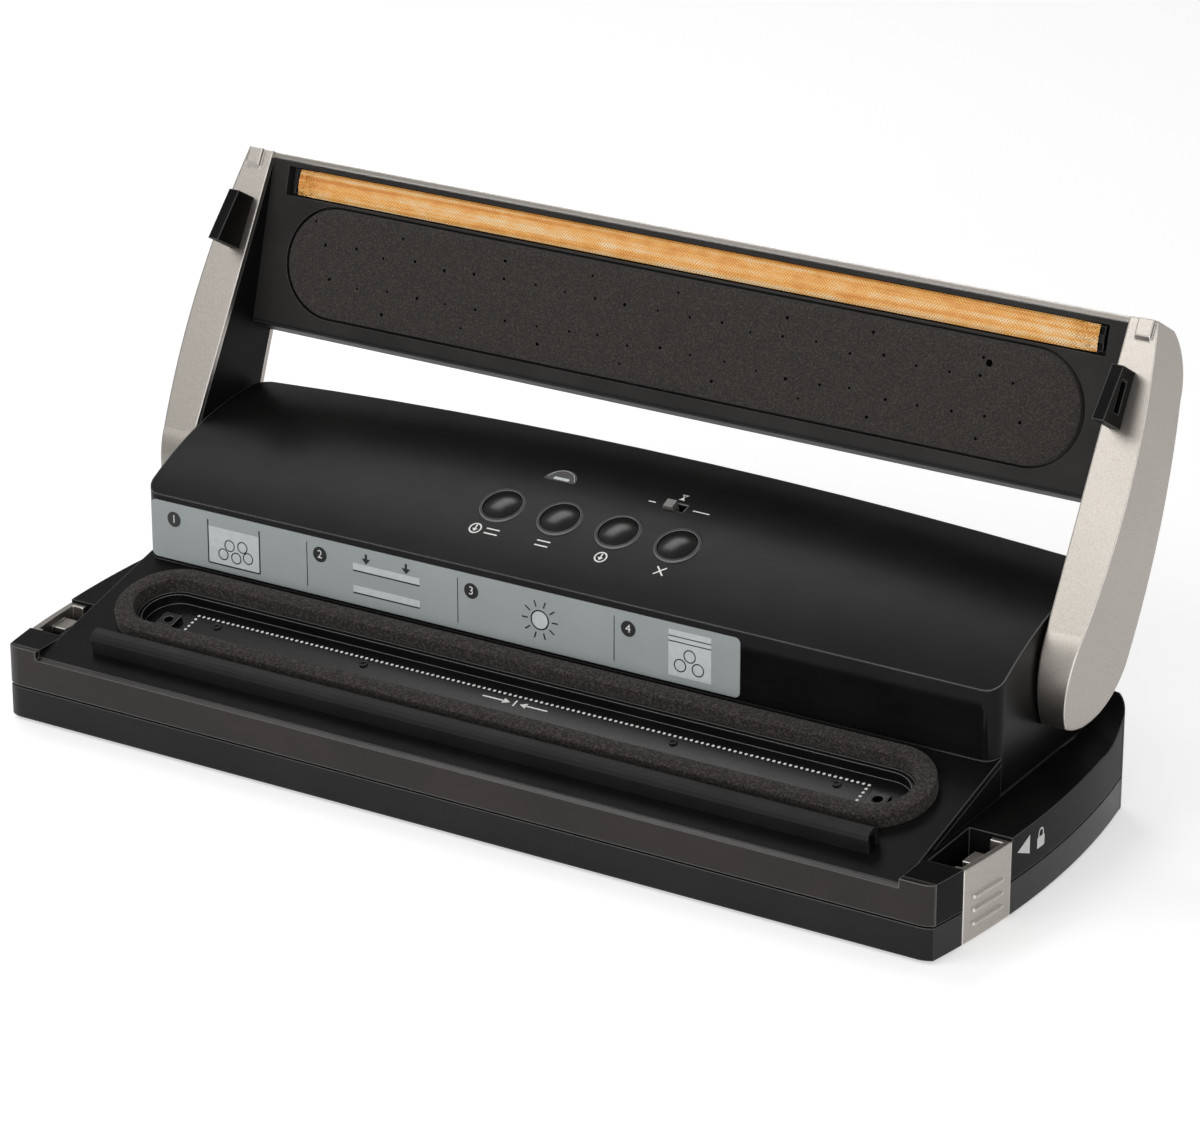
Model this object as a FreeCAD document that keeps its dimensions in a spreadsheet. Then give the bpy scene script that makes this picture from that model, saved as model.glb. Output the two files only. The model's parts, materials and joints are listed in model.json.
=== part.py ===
# Vacuum sealer with its lid open: a hinged lid bar over a sloped sealing deck and a control console.
# Frame: +X to the right, +Y to the back, +Z up; the origin is on the table under the middle of the base.
import FreeCAD, Part
import math
import os
import re
from types import SimpleNamespace

import Sketcher
from FreeCAD import Placement, Rotation, Vector

# Driving dimensions, in millimetres and degrees
SIZES = {
    # Base in plan
    "deck_width": 368.8,
    "shelf_width": 13.1,
    "side_bow": 6.6,
    "rear_margin": 3.0,
    "front_corner_run": 6.5,
    "front_corner_setback": 1.7,
    "rear_corner_radius": 8.0,
    # Base in height
    "foot_height": 1.5,
    "lower_height": 12.2,
    "seam_gap": 0.8,
    "shell_wall": 2.5,
    "block_height": 29.9,
    "shelf_rear_height": 32.0,
    "rear_wall_height": 44.0,
    "ledge_width": 4.0,
    # Sloped deck
    "deck_angle": 14.6,
    "deck_front_height": 26.45,
    "console_setback": 70.4,
    # Console
    "console_side_gap": 0.4,
    "console_depth": 78.6,
    "console_wall": 2.4,
    "console_corner": 6.0,
    "console_front_top": 71.8,
    "console_front_crown": 0.6,
    "console_mid_setback": 36.6,
    "console_mid_top": 87.8,
    "console_mid_crown": 2.6,
    "console_rear_top": 92.6,
    "console_rear_crown": 6.4,
    # Lid hinge
    "hinge_rear_inset": 25.44,
    "hinge_height": 62.6,
    "lid_open_angle": 120.0,
    "hinge_pin_radius": 4.0,
    "hinge_clearance": 0.05,
    "hinge_boss_wall": 3.0,
    "hinge_boss_depth": 8.0,
    "pin_end_gap": 0.4,
    # Lid arms, measured with the lid closed
    "arm_gap": 1.1,
    "arm_inset": 1.8,
    "arm_wall": 2.2,
    "arm_under_height": 32.85,
    "arm_front_setback": 4.1,
    "nose_length": 8.0,
    "nose_drop": 1.6,
    "nose_offset": 4.0,
    "nose_width": 6.0,
    "arm_front_height": 15.5,
    "arm_shoulder_run": 22.0,
    "arm_shoulder_rise": 29.2,
    "arm_crest_rise": 13.6,
    "arm_crest_lead": 4.5,
    "arm_top_sag": 1.6,
    "arm_tail_reach": 24.0,
    "arm_tail_drop": 12.6,
    "arm_tail_lead": 7.5,
    "arm_swing_gap": 1.6,
    "liner_thickness": 2.0,
    # Lid bar
    "bar_wall": 2.0,
    "bar_rear_gap": 1.8,
    "panel_lift": 6.5,
    "panel_thickness": 6.0,
    # Foam ring and chamber on the deck
    "ring_end_margin": 10.8,
    "ring_radius": 20.9,
    "ring_band": 7.2,
    "ring_height": 5.4,
    "ring_setback": 45.0,
    "tray_margin": 0.8,
    "tray_clearance": 0.2,
    "tray_depth": 4.2,
    "tray_wall": 1.6,
    "tray_floor": 1.8,
    "tray_flange": 2.5,
    "port_inset": 20.6,
    "port_lead": 2.0,
    "port_radius": 3.6,
    "port_bore": 2.0,
    "port_rise": 2.2,
    "port_flange": 1.6,
    "port_stem": 6.0,
    # Rubber strip on the deck
    "strip_end_margin": 18.1,
    "strip_width": 7.5,
    "strip_height": 7.9,
    "strip_wall": 1.7,
    "strip_crown": 2.2,
    "strip_setback": 16.2,
    "strip_open_end": 18.0,
    # Lid pad, slot and heater
    "pad_end_margin": 11.6,
    "pad_radius": 21.8,
    "pad_proud": 0.7,
    "pad_recess": 3.2,
    "pad_clearance": 0.4,
    "pad_setback": 44.6,
    "slot_end_margin": 6.9,
    "slot_width": 11.5,
    "slot_setback": 15.9,
    "slot_depth": 5.0,
    "carrier_end_gap": 2.5,
    "carrier_width": 9.0,
    "carrier_thickness": 2.5,
    "wire_width": 3.0,
    "wire_thickness": 0.4,
    "tape_end_gap": 4.5,
    "tape_width": 10.4,
    "tape_thickness": 0.4,
    # Lid catches and latches
    "catch_setback": 23.6,
    "catch_length": 21.2,
    "catch_front_drop": 11.0,
    "catch_rear_drop": 16.0,
    "catch_thickness": 4.5,
    "catch_gap": 2.9,
    "notch_length": 12.0,
    "notch_height": 5.0,
    "notch_drop": 4.6,
    "notch_depth": 2.6,
    "pocket_wall": 2.0,
    "pocket_margin": 2.1,
    "latch_setback": 17.8,
    "latch_length": 29.0,
    "latch_gap": 0.4,
    "latch_plate": 2.2,
    "latch_return": 4.2,
    "latch_pivot_height": 8.5,
    "latch_pivot_inset": 5.5,
    "latch_barrel_wall": 1.6,
    "latch_hook_height": 2.0,
    "latch_hook_drop": 6.2,
    "latch_hook_gap": 0.7,
    "latch_hook_length": 9.0,
    "latch_pin_radius": 1.5,
    "rib_count": 3,
    "rib_length": 17.5,
    "rib_pitch": 5.1,
    "rib_width": 1.2,
    "rib_proud": 0.6,
    "rib_first_height": 7.4,
    # Controls on the console
    "button_count": 4,
    "button_radius": 7.5,
    "button_pitch": 25.3,
    "button_gap": 0.35,
    "bezel_width": 0.9,
    "bezel_height": 0.5,
    "button_skirt": 3.4,
    "button_dome": 1.3,
    "button_travel": 1.2,
    "press_gap": 0.3,
    "button_stem_radius": 2.0,
    "button_setback": 27.5,
    "board_drop": 12.0,
    "board_length": 112.0,
    "board_front": 13.0,
    "board_back": 30.0,
    "board_thickness": 1.6,
    "board_post_width": 6.0,
    "tact_size": 6.2,
    "tact_height": 3.6,
    "row_gap": 19.5,
    "lens_radius": 6.2,
    "lens_clearance": 0.15,
    "lens_offset": -24.7,
    "lens_thickness": 3.0,
    "led_radius": 2.5,
    "led_gap": 0.3,
    "slider_offset": 26.0,
    "slider_slot_length": 8.4,
    "slider_slot_width": 4.4,
    "slider_travel": 4.0,
    "slider_clearance": 0.25,
    "slider_proud": 1.6,
    "slider_body_height": 4.0,
    "slider_body_width": 9.0,
    # Vacuum pump, hose and power
    "motor_radius": 16.0,
    "motor_length": 44.0,
    "pump_width": 36.0,
    "pump_depth": 40.0,
    "pump_height": 40.0,
    "pump_wall": 3.0,
    "pump_back_gap": 8.0,
    "nipple_height": 9.0,
    "crank_radius": 9.0,
    "crank_width": 7.0,
    "crank_pin_radius": 2.0,
    "crank_pin_length": 6.0,
    "crank_pin_throw": 5.0,
    "shaft_radius": 2.5,
    "shaft_clearance": 0.05,
    "hose_radius": 3.2,
    "transformer_width": 54.0,
    "transformer_depth": 32.0,
    "transformer_height": 44.0,
    "transformer_offset": -118.0,
    "coil_margin": 8.0,
    "coil_depth": 44.0,
    "switch_length": 20.0,
    "switch_width": 6.4,
    "switch_height": 10.2,
    "gland_offset": -150.0,
    "gland_height": 22.5,
    "gland_radius": 5.0,
    "gland_flange": 1.8,
    "gland_flange_thickness": 1.6,
    "gland_bore": 3.4,
    # Feet and screws
    "foot_radius": 7.0,
    "foot_inset_x": 24.0,
    "foot_inset_y": 16.0,
    "foot_recess": 1.0,
    "screw_radius": 1.7,
    "screw_head_radius": 3.2,
    "screw_head_height": 2.0,
    "screw_boss_wall": 2.3,
    "screw_grip": 8.0,
    "screw_inset_x": 7.5,
    "screw_inset_y": 9.0,
}

doc = FreeCAD.newDocument("VacuumSealer")
sheet = doc.addObject("Spreadsheet::Sheet", "Sizes")
for row, (name, value) in enumerate(SIZES.items(), start=1):
    sheet.set(f"A{row}", name)
    sheet.set(f"B{row}", str(value))
    sheet.setAlias(f"B{row}", name)
doc.recompute()
d = SimpleNamespace(**{name: float(sheet.get(name)) for name in SIZES})

# Lengths that follow from the sizes, as expressions on the sheet
RING_LENGTH = "(deck_width - 2 * ring_end_margin)"
RING_STRAIGHT = f"({RING_LENGTH} / 2 - ring_radius)"
TRAY_RADIUS = "(ring_radius - ring_band - tray_margin)"
PORT_REACH = f"({RING_LENGTH} / 2 - port_inset)"
STRIP_LENGTH = "(deck_width - 2 * strip_end_margin)"
PAD_STRAIGHT = "(deck_width / 2 - pad_end_margin - pad_radius)"
SLOT_LENGTH = "(deck_width - 2 * slot_end_margin)"
CARRIER_LENGTH = f"({SLOT_LENGTH} - 2 * carrier_end_gap)"
TAPE_LENGTH = f"({SLOT_LENGTH} - 2 * tape_end_gap)"

X_AXIS = Vector(1, 0, 0)
Y_AXIS = Vector(0, 1, 0)
Z_AXIS = Vector(0, 0, 1)
ORIGIN = Vector(0, 0, 0)
SIDES = {"left": -1, "right": 1}

# Places that follow from the sizes
base_depth = d.console_setback + d.console_depth + d.rear_margin
front_half = d.deck_width / 2 + d.shelf_width
middle_half = front_half + d.side_bow
TALL = 3 * base_depth
front_y = -base_depth / 2
rear_y = base_depth / 2
floor_z = d.foot_height
floor_top = floor_z + d.shell_wall
seam_z = d.foot_height + d.lower_height
upper_z = seam_z + d.seam_gap
console_front = front_y + d.console_setback
console_rear = console_front + d.console_depth
console_half = d.deck_width / 2 - d.console_side_gap
deck_half = d.deck_width / 2
hinge = Vector(0, rear_y - d.hinge_rear_inset, d.hinge_height)
arm_inner = console_half + d.arm_gap
arm_front = front_y + d.arm_front_setback
deck_slope = math.tan(math.radians(d.deck_angle))
deck_cos = math.cos(math.radians(d.deck_angle))

# Frame of the deck: X along the deck, Y up its slope from the front edge, Z square to it
deck_frame = Placement(Vector(0, front_y, d.deck_front_height), Rotation(X_AXIS, d.deck_angle))
# The lid is drawn closed and then turned about its hinge to the open pose
lid_turn = Placement(ORIGIN, Rotation(X_AXIS, -d.lid_open_angle), hinge)

parts = []


def cells(text):
    """The expression with each size written as a cell of the sheet."""
    def cell(word):
        return f"Sizes.{word[0]}" if word[0] in SIZES else word[0]

    return re.sub(r"[a-z][a-z_]*", cell, str(text))


def number(text):
    return float(sheet.evalExpression(cells(text)))


def keep(obj, label, placement=None):
    """Registers an object as a sub-part under its label."""
    obj.Label = label
    if placement is not None:
        obj.Placement = placement
    parts.append(obj)
    return obj


def feature(label, shape, placement=None):
    """A sub-part whose shape is worked out from the sheet's sizes."""
    obj = doc.addObject("Part::Feature", label)
    obj.Shape = shape.removeSplitter()
    return keep(obj, label, placement)


def new_body(label, placement=None):
    return keep(doc.addObject("PartDesign::Body", label), label, placement)


def new_sketch(body, role, name):
    sketch = body.newObject("Sketcher::SketchObject", name)
    plane = [item for item in body.Origin.OriginFeatures if item.Role == role][0]
    sketch.AttachmentSupport = [(plane, "")]
    sketch.MapMode = "FlatFace"
    return sketch


def bind(sketch, kind, geometry, point, text, name):
    """A named sketch dimension from the origin, bound to the sheet."""
    index = sketch.addConstraint(Sketcher.Constraint(kind, -1, 1, geometry, point, number(text)))
    sketch.renameConstraint(index, name)
    sketch.setExpression(f"Constraints.{name}", cells(text))


def draw_outline(body, role, name, corners):
    """A closed outline of straight lines through corners given as expressions."""
    sketch = new_sketch(body, role, name)
    places = [Vector(number(x), number(y), 0) for x, y in corners]
    count = len(corners)
    for i in range(count):
        sketch.addGeometry(Part.LineSegment(places[i], places[(i + 1) % count]), False)
    for i in range(count):
        sketch.addConstraint(Sketcher.Constraint("Coincident", i, 2, (i + 1) % count, 1))
    for i, (x, y) in enumerate(corners):
        bind(sketch, "DistanceX", i, 1, x, f"x{i}")
        bind(sketch, "DistanceY", i, 1, y, f"y{i}")
    return sketch


def draw_box(body, role, name, half_x, low_y, high_y):
    """A rectangle centred on the sketch's upright axis."""
    return draw_outline(body, role, name, [
        (f"-({half_x})", low_y), (half_x, low_y), (half_x, high_y), (f"-({half_x})", high_y)])


def draw_stadium(body, role, name, straight, radius):
    """A stadium about the origin: half its straight length and its end radius, as expressions."""
    sketch = new_sketch(body, role, name)
    a, r = number(straight), number(radius)
    arcs = [(a, -math.pi / 2, math.pi / 2), (-a, math.pi / 2, 1.5 * math.pi)]
    for x, start, end in arcs:
        sketch.addGeometry(Part.ArcOfCircle(Part.Circle(Vector(x, 0, 0), Z_AXIS, r), start, end), False)
    sketch.addGeometry(Part.LineSegment(Vector(a, r, 0), Vector(-a, r, 0)), False)
    sketch.addGeometry(Part.LineSegment(Vector(-a, -r, 0), Vector(a, -r, 0)), False)
    for arc, arc_end, line, line_end in ((0, 2, 2, 1), (1, 1, 2, 2), (1, 2, 3, 1), (0, 1, 3, 2)):
        sketch.addConstraint(Sketcher.Constraint("Tangent", arc, arc_end, line, line_end))
    for arc in (0, 1):
        sketch.addConstraint(Sketcher.Constraint("PointOnObject", arc, 3, -1))
    bind(sketch, "DistanceX", 0, 3, straight, "right_centre")
    bind(sketch, "DistanceX", 1, 3, f"-({straight})", "left_centre")
    index = sketch.addConstraint(Sketcher.Constraint("Radius", 0, r))
    sketch.renameConstraint(index, "end_radius")
    sketch.setExpression("Constraints.end_radius", cells(radius))
    return sketch


def draw_circle(body, role, name, radius):
    sketch = new_sketch(body, role, name)
    sketch.addGeometry(Part.Circle(ORIGIN, Z_AXIS, number(radius)), False)
    sketch.addConstraint(Sketcher.Constraint("Coincident", 0, 3, -1, 1))
    index = sketch.addConstraint(Sketcher.Constraint("Radius", 0, number(radius)))
    sketch.renameConstraint(index, "radius")
    sketch.setExpression("Constraints.radius", cells(radius))
    return sketch


def draw_cap(body, role, name, radius, skirt, dome):
    """Half the section of a domed cap: its skirt below the rim and an arc from the rim to the crest."""
    sketch = new_sketch(body, role, name)
    r, h = number(radius), number(dome)
    crown = (r ** 2 + h ** 2) / (2 * h)
    low, corner = Vector(0, -number(skirt), 0), Vector(r, -number(skirt), 0)
    rim, crest = Vector(r, 0, 0), Vector(0, h, 0)
    circle = Part.Circle(Vector(0, h - crown, 0), Z_AXIS, crown)
    sketch.addGeometry(Part.LineSegment(low, corner), False)
    sketch.addGeometry(Part.LineSegment(corner, rim), False)
    sketch.addGeometry(Part.ArcOfCircle(circle, math.acos(r / crown), math.pi / 2), False)
    sketch.addGeometry(Part.LineSegment(crest, low), False)
    for i in range(4):
        sketch.addConstraint(Sketcher.Constraint("Coincident", i, 2, (i + 1) % 4, 1))
    sketch.addConstraint(Sketcher.Constraint("PointOnObject", 2, 3, -2))
    for i, (x, y) in enumerate((("0", f"-({skirt})"), (radius, f"-({skirt})"), (radius, "0"), ("0", dome))):
        bind(sketch, "DistanceX", i, 1, x, f"x{i}")
        bind(sketch, "DistanceY", i, 1, y, f"y{i}")
    return sketch


def pad(body, sketch, length, middle=False, down=False):
    item = body.newObject("PartDesign::Pad", "Pad")
    item.Profile = sketch
    item.setExpression("Length", cells(length))
    item.Midplane = middle
    item.Reversed = down
    doc.recompute()
    return item


def pocket(body, sketch, length, up=False, middle=False):
    before = body.Shape.Volume
    item = body.newObject("PartDesign::Pocket", "Pocket")
    item.Profile = sketch
    item.setExpression("Length", cells(length))
    item.Reversed = up
    item.Midplane = middle
    doc.recompute()
    if body.Shape.Volume >= before:
        raise RuntimeError(f"{body.Label}: a pocket cut nothing")
    return item


def primitive(kind, name, sizes, placement):
    """A Part primitive with its sizes bound to the sheet."""
    obj = doc.addObject(kind, name)
    for key, text in sizes.items():
        obj.setExpression(key, cells(text))
    obj.Placement = placement
    return obj


def box_at(name, width, depth, height, x, y, z, frame=None):
    """A box by its size expressions, centred on x and y, standing on z."""
    corner = Vector(x - number(width) / 2, y - number(depth) / 2, z)
    place = Placement(corner, Rotation())
    if frame is not None:
        place = frame.multiply(place)
    return primitive("Part::Box", name, {"Length": width, "Width": depth, "Height": height}, place)


def cylinder_at(name, radius, height, base, direction=Z_AXIS, frame=None):
    place = Placement(base, Rotation(Z_AXIS, direction))
    if frame is not None:
        place = frame.multiply(place)
    return primitive("Part::Cylinder", name, {"Radius": radius, "Height": height}, place)


def fuse(label, items):
    obj = doc.addObject("Part::MultiFuse", label)
    obj.Shapes = items
    return obj


def cut(label, base, tool):
    obj = doc.addObject("Part::Cut", label)
    obj.Base = base
    obj.Tool = tool
    return obj


def group(label, items):
    """Separate solids that share one sub-part."""
    obj = doc.addObject("Part::Compound", label)
    obj.Links = items
    return keep(obj, label)


def block(x0, x1, y0, y1, z0, z1):
    return Part.makeBox(x1 - x0, y1 - y0, z1 - z0, Vector(x0, y0, z0))


def side_block(side, x0, x1, y0, y1, z0, z1):
    """A box on one side of the object, with x measured outwards from the middle."""
    low, high = sorted((side * x0, side * x1))
    return block(low, high, y0, y1, z0, z1)


def prism_yz(edges, x0, x1):
    """A solid with an outline in the YZ plane, from x0 to x1."""
    face = Part.Face(Part.Wire(Part.__sortEdges__(edges)))
    face.translate(Vector(x0, 0, 0))
    return face.extrude(Vector(x1 - x0, 0, 0))


def polygon_yz(points, x0, x1):
    wire = Part.makePolygon([Vector(0, y, z) for y, z in points + points[:1]])
    return prism_yz(wire.Edges, x0, x1)


def arc(start, middle, end):
    return Part.Arc(start, middle, end).toShape()


def line(start, end):
    return Part.LineSegment(start, end).toShape()


def rod(start, end, radius):
    return Part.makeCylinder(radius, (end - start).Length, start, end - start)


# Base outline in plan


def plan_wire(inset, z):
    """The base's outline: straight front and rear, drawn-in front corners and bowed sides."""
    half_front = front_half - inset
    half_mid = middle_half - inset
    y_front, y_rear = front_y + inset, rear_y - inset
    radius = d.rear_corner_radius
    x_blend = half_front - d.front_corner_run
    y_corner = y_front + d.front_corner_setback
    quarter = radius * (1 - math.sqrt(0.5))
    right = [
        Vector(x_blend, y_front, z), Vector(half_front - 0.4 * d.front_corner_run,
                                            y_front + 0.25 * d.front_corner_setback, z),
        Vector(half_front, y_corner, z), Vector(half_mid, 0, z), Vector(half_front, y_rear - radius, z),
        Vector(half_front - quarter, y_rear - quarter, z), Vector(half_front - radius, y_rear, z)]
    left = [Vector(-p.x, p.y, p.z) for p in right]
    edges = [line(left[0], right[0]), arc(*right[0:3]), arc(*right[2:5]), arc(*right[4:7]),
             line(right[6], left[6]), arc(*reversed(left[4:7])), arc(*reversed(left[2:5])),
             arc(*reversed(left[0:3]))]
    return Part.Wire(edges)


def plan_solid(z0, z1, inset=0.0):
    return Part.Face(plan_wire(inset, z0)).extrude(Vector(0, 0, z1 - z0))


def deck_z(y):
    return d.deck_front_height + (y - front_y) * deck_slope


# Arm outline, lid closed


def arm_outline():
    """The closed arm seen from the side, as edges in the YZ plane."""
    under = d.arm_under_height
    toe = Vector(0, arm_front, under)
    tail_start = Vector(0, hinge.y - d.arm_tail_lead, under)
    tail_end = Vector(0, hinge.y + d.arm_tail_reach, hinge.z - d.arm_tail_drop)
    tail_middle = Vector(0, hinge.y + 0.57 * d.arm_tail_reach, under + 0.19 * (hinge.z - under))
    crest = Vector(0, hinge.y - d.arm_crest_lead, hinge.z + d.arm_crest_rise)
    crest_middle = Vector(0, hinge.y + 0.7 * d.arm_tail_reach, hinge.z + 0.42 * d.arm_crest_rise)
    shoulder = Vector(0, arm_front + d.arm_shoulder_run, under + d.arm_shoulder_rise)
    top_middle = (crest + shoulder) * 0.5 - Vector(0, 0, d.arm_top_sag)
    brow = Vector(0, arm_front, under + d.arm_front_height)
    brow_middle = Vector(0, arm_front + 0.33 * d.arm_shoulder_run,
                         under + d.arm_front_height + 0.74 * (d.arm_shoulder_rise - d.arm_front_height))
    return {
        "under": [line(toe, tail_start)],
        "tail": [arc(tail_start, tail_middle, tail_end), arc(tail_end, crest_middle, crest)],
        "top": [arc(crest, top_middle, shoulder), arc(shoulder, brow_middle, brow)],
        "front": [line(brow, toe)]}


under_z = d.arm_under_height
arm_edges = arm_outline()
arm_all = [edge for run in arm_edges.values() for edge in run]
tail_points = [point for edge in arm_edges["tail"] for point in edge.discretize(40)]
swing_radius = d.arm_swing_gap + max((p - hinge).Length for p in tail_points if p.y > hinge.y)


def arm_solid(x0, x1, inset=0.0):
    """The arm's outline drawn in by an inset, between two planes square to X."""
    face = Part.Face(Part.Wire(Part.__sortEdges__(arm_all)))
    if inset:
        face = face.makeOffset2D(-inset)
    face.translate(Vector(x0, 0, 0))
    return face.extrude(Vector(x1 - x0, 0, 0))


# Latch places shared by the shells, the latches and the catches
latch_y0 = front_y + d.latch_setback
latch_y1 = latch_y0 + d.latch_length
pocket_y0 = latch_y0 - d.latch_gap
pocket_y1 = latch_y1 + d.latch_gap
pocket_x = deck_half + d.pocket_margin
side_curve = arc(Vector(front_half, front_y + d.front_corner_setback, 0), Vector(middle_half, 0, 0),
                 Vector(front_half, rear_y - d.rear_corner_radius, 0)).Curve


def side_x(y):
    """Half width of the base's outline at a depth."""
    return side_curve.Center.x + math.sqrt(side_curve.Radius ** 2 - (y - side_curve.Center.y) ** 2)


def bow_solid(side, inset):
    """A column bounded by the bowed side of the base, drawn in by an inset."""
    centre = Vector(side * side_curve.Center.x, side_curve.Center.y, -TALL)
    return Part.makeCylinder(side_curve.Radius - inset, 2 * TALL, centre)


pivot_x = side_x(latch_y0) - d.latch_pivot_inset
catch_x = arm_inner + d.catch_gap


def latch_bay(side, z0, z1):
    """The walls round a latch pocket."""
    return side_block(side, pocket_x - d.pocket_wall, TALL, pocket_y0 - d.pocket_wall,
                      pocket_y1 + d.pocket_wall, z0, z1)


def latch_pocket(side, z0, z1):
    return side_block(side, pocket_x, TALL, pocket_y0, pocket_y1, z0, z1)


def latch_pin_line(side):
    reach = d.pocket_wall
    x, z = side * pivot_x, d.latch_pivot_height
    return Vector(x, pocket_y0 - reach, z), Vector(x, pocket_y1 + reach, z)


# Screw and foot places
screw_places = [(sx * (front_half - d.screw_inset_x), y)
                for sx in (-1, 1) for y in (front_y + d.screw_inset_y, rear_y - d.screw_inset_y)]
foot_places = [(sx * (front_half - d.foot_inset_x), sy * (base_depth / 2 - d.foot_inset_y))
               for sx in (-1, 1) for sy in (-1, 1)]
boss_radius = d.screw_radius + d.screw_boss_wall


# Lower shell: a tray with latch notches, screw bosses and recesses for the feet
def lower_shell():
    outer = plan_solid(floor_z, seam_z)
    inner = plan_solid(floor_top, seam_z, d.shell_wall)
    shell = outer.cut(inner)
    for side in SIDES.values():
        shell = shell.fuse(latch_bay(side, floor_z, seam_z).common(outer))
        shell = shell.cut(latch_pocket(side, floor_top, TALL))
        shell = shell.cut(side_block(side, side_x(latch_y0) - d.latch_pivot_inset - d.latch_return, TALL,
                                     pocket_y0, pocket_y1, 0, TALL))
        shell = shell.cut(rod(*latch_pin_line(side), d.latch_pin_radius))
    for x, y in screw_places:
        shell = shell.fuse(rod(Vector(x, y, floor_z), Vector(x, y, seam_z), boss_radius))
    for x, y in screw_places:
        shell = shell.cut(rod(Vector(x, y, 0), Vector(x, y, TALL), d.screw_radius))
        shell = shell.cut(rod(Vector(x, y, 0), Vector(x, y, floor_z + d.screw_head_height),
                              d.screw_head_radius))
    for x, y in foot_places:
        shell = shell.cut(rod(Vector(x, y, 0), Vector(x, y, floor_z + d.foot_recess), d.foot_radius))
    return shell


# Upper half of the base: front fascia, sloped deck, corner blocks, side shelves and rear wall
def shelf_outline(lower):
    """Side shelf from the front block to the swept rear wall, lowered by a wall where it is the inside."""
    radius = swing_radius + lower
    join_z = d.shelf_rear_height - lower
    join_y = hinge.y - math.sqrt(max(radius ** 2 - (hinge.z - join_z) ** 2, 0))
    top_z = d.rear_wall_height - lower
    top_y = hinge.y + math.sqrt(radius ** 2 - (hinge.z - top_z) ** 2)
    join = Vector(0, join_y, join_z)
    top = Vector(0, top_y, top_z)
    bottom = Vector(0, hinge.y, hinge.z - radius)
    front = Vector(0, front_y, d.block_height - lower)
    back = Vector(0, rear_y + 1, top_z)
    low_back = Vector(0, rear_y + 1, 0)
    low_front = Vector(0, front_y, 0)
    return [line(front, join), arc(join, bottom, top), line(top, back), line(back, low_back),
            line(low_back, low_front), line(low_front, front)]


def housing_form(lower):
    """The housing's outside, or its inside when lowered by a wall."""
    rise = lower / deck_cos
    half = deck_half - lower
    shelf_start = deck_half + lower
    step = console_front + d.ledge_width - lower
    shelf_z = d.shelf_rear_height - lower
    deck = polygon_yz([(front_y, 0), (front_y, deck_z(front_y) - rise), (step, deck_z(step) - rise),
                       (step, 0)], -half, half)
    under = polygon_yz([(front_y, 0), (front_y, d.block_height - lower), (hinge.y, shelf_z),
                        (rear_y, shelf_z), (rear_y, 0)], -half, half)
    under = under.cut(block(-half, half, front_y - 1, step, 0, TALL))
    shelves = [prism_yz(shelf_outline(lower), *sorted((side * shelf_start, side * TALL)))
               for side in SIDES.values()]
    return deck.fuse([under] + shelves)


housing_outside = housing_form(0)


def stadium_solid(straight, radius, h0, h1):
    """A stadium column square to the deck, about the ring's centre, in the deck's frame."""
    ends = [Part.makeCylinder(radius, h1 - h0, Vector(x, 0, h0)) for x in (-straight, straight)]
    solid = ends[0].fuse([ends[1], Part.makeBox(2 * straight, 2 * radius, h1 - h0,
                                                Vector(-straight, -radius, h0))])
    solid.Placement = deck_frame.multiply(Placement(Vector(0, d.ring_setback, 0), Rotation()))
    return solid


ring_straight = number(RING_STRAIGHT)
tray_radius = number(TRAY_RADIUS)


def deck_slab():
    """The space of the deck plate: between the fascia and the console's ledge, one wall thick."""
    y0, y1 = front_y + d.shell_wall, console_front + d.ledge_width
    rise = d.shell_wall / deck_cos
    return polygon_yz([(y0, deck_z(y0)), (y1, deck_z(y1)), (y1, deck_z(y1) - rise),
                       (y0, deck_z(y0) - rise)], -deck_half, deck_half)


def deck_plate():
    """The sloped plate with the chamber's hole and the rib that holds the rubber strip."""
    rib_half = d.strip_width / 2 - d.strip_wall
    rib_length = number(STRIP_LENGTH) - 2 * d.strip_open_end
    rib = Part.makeBox(rib_length, 2 * rib_half, d.strip_height - d.strip_wall,
                       Vector(-rib_length / 2, d.strip_setback - rib_half, 0))
    rib.Placement = deck_frame
    hole = stadium_solid(ring_straight, tray_radius + d.tray_clearance, -base_depth, base_depth)
    return deck_slab().cut(hole).fuse(rib)


def upper_shell():
    """The whole upper half of the base round the deck plate, before it is parted."""
    outer = plan_solid(upper_z, TALL / 4)
    inner = plan_solid(0, TALL / 4, d.shell_wall)
    body = outer.common(housing_outside)
    shell = body.cut(inner.common(housing_form(d.shell_wall)))
    shell = shell.cut(deck_slab())
    for x, y in screw_places:
        shell = shell.fuse(rod(Vector(x, y, upper_z), Vector(x, y, TALL), boss_radius).common(body))
    for side in SIDES.values():
        shell = shell.fuse(latch_bay(side, upper_z, TALL).common(body))
        shell = shell.cut(latch_pocket(side, 0, TALL))
    ledge = d.ledge_width
    opening = block(-console_half + ledge, console_half - ledge, console_front + ledge,
                    console_rear - ledge, 0, TALL)
    shell = shell.cut(opening)
    for x, y in screw_places:
        shell = shell.cut(rod(Vector(x, y, 0), Vector(x, y, seam_z + d.screw_grip), d.screw_radius))
    return shell.cut(rod(Vector(d.gland_offset, rear_y - 2 * ledge, d.gland_height),
                         Vector(d.gland_offset, rear_y + ledge, d.gland_height), d.gland_radius))


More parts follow.
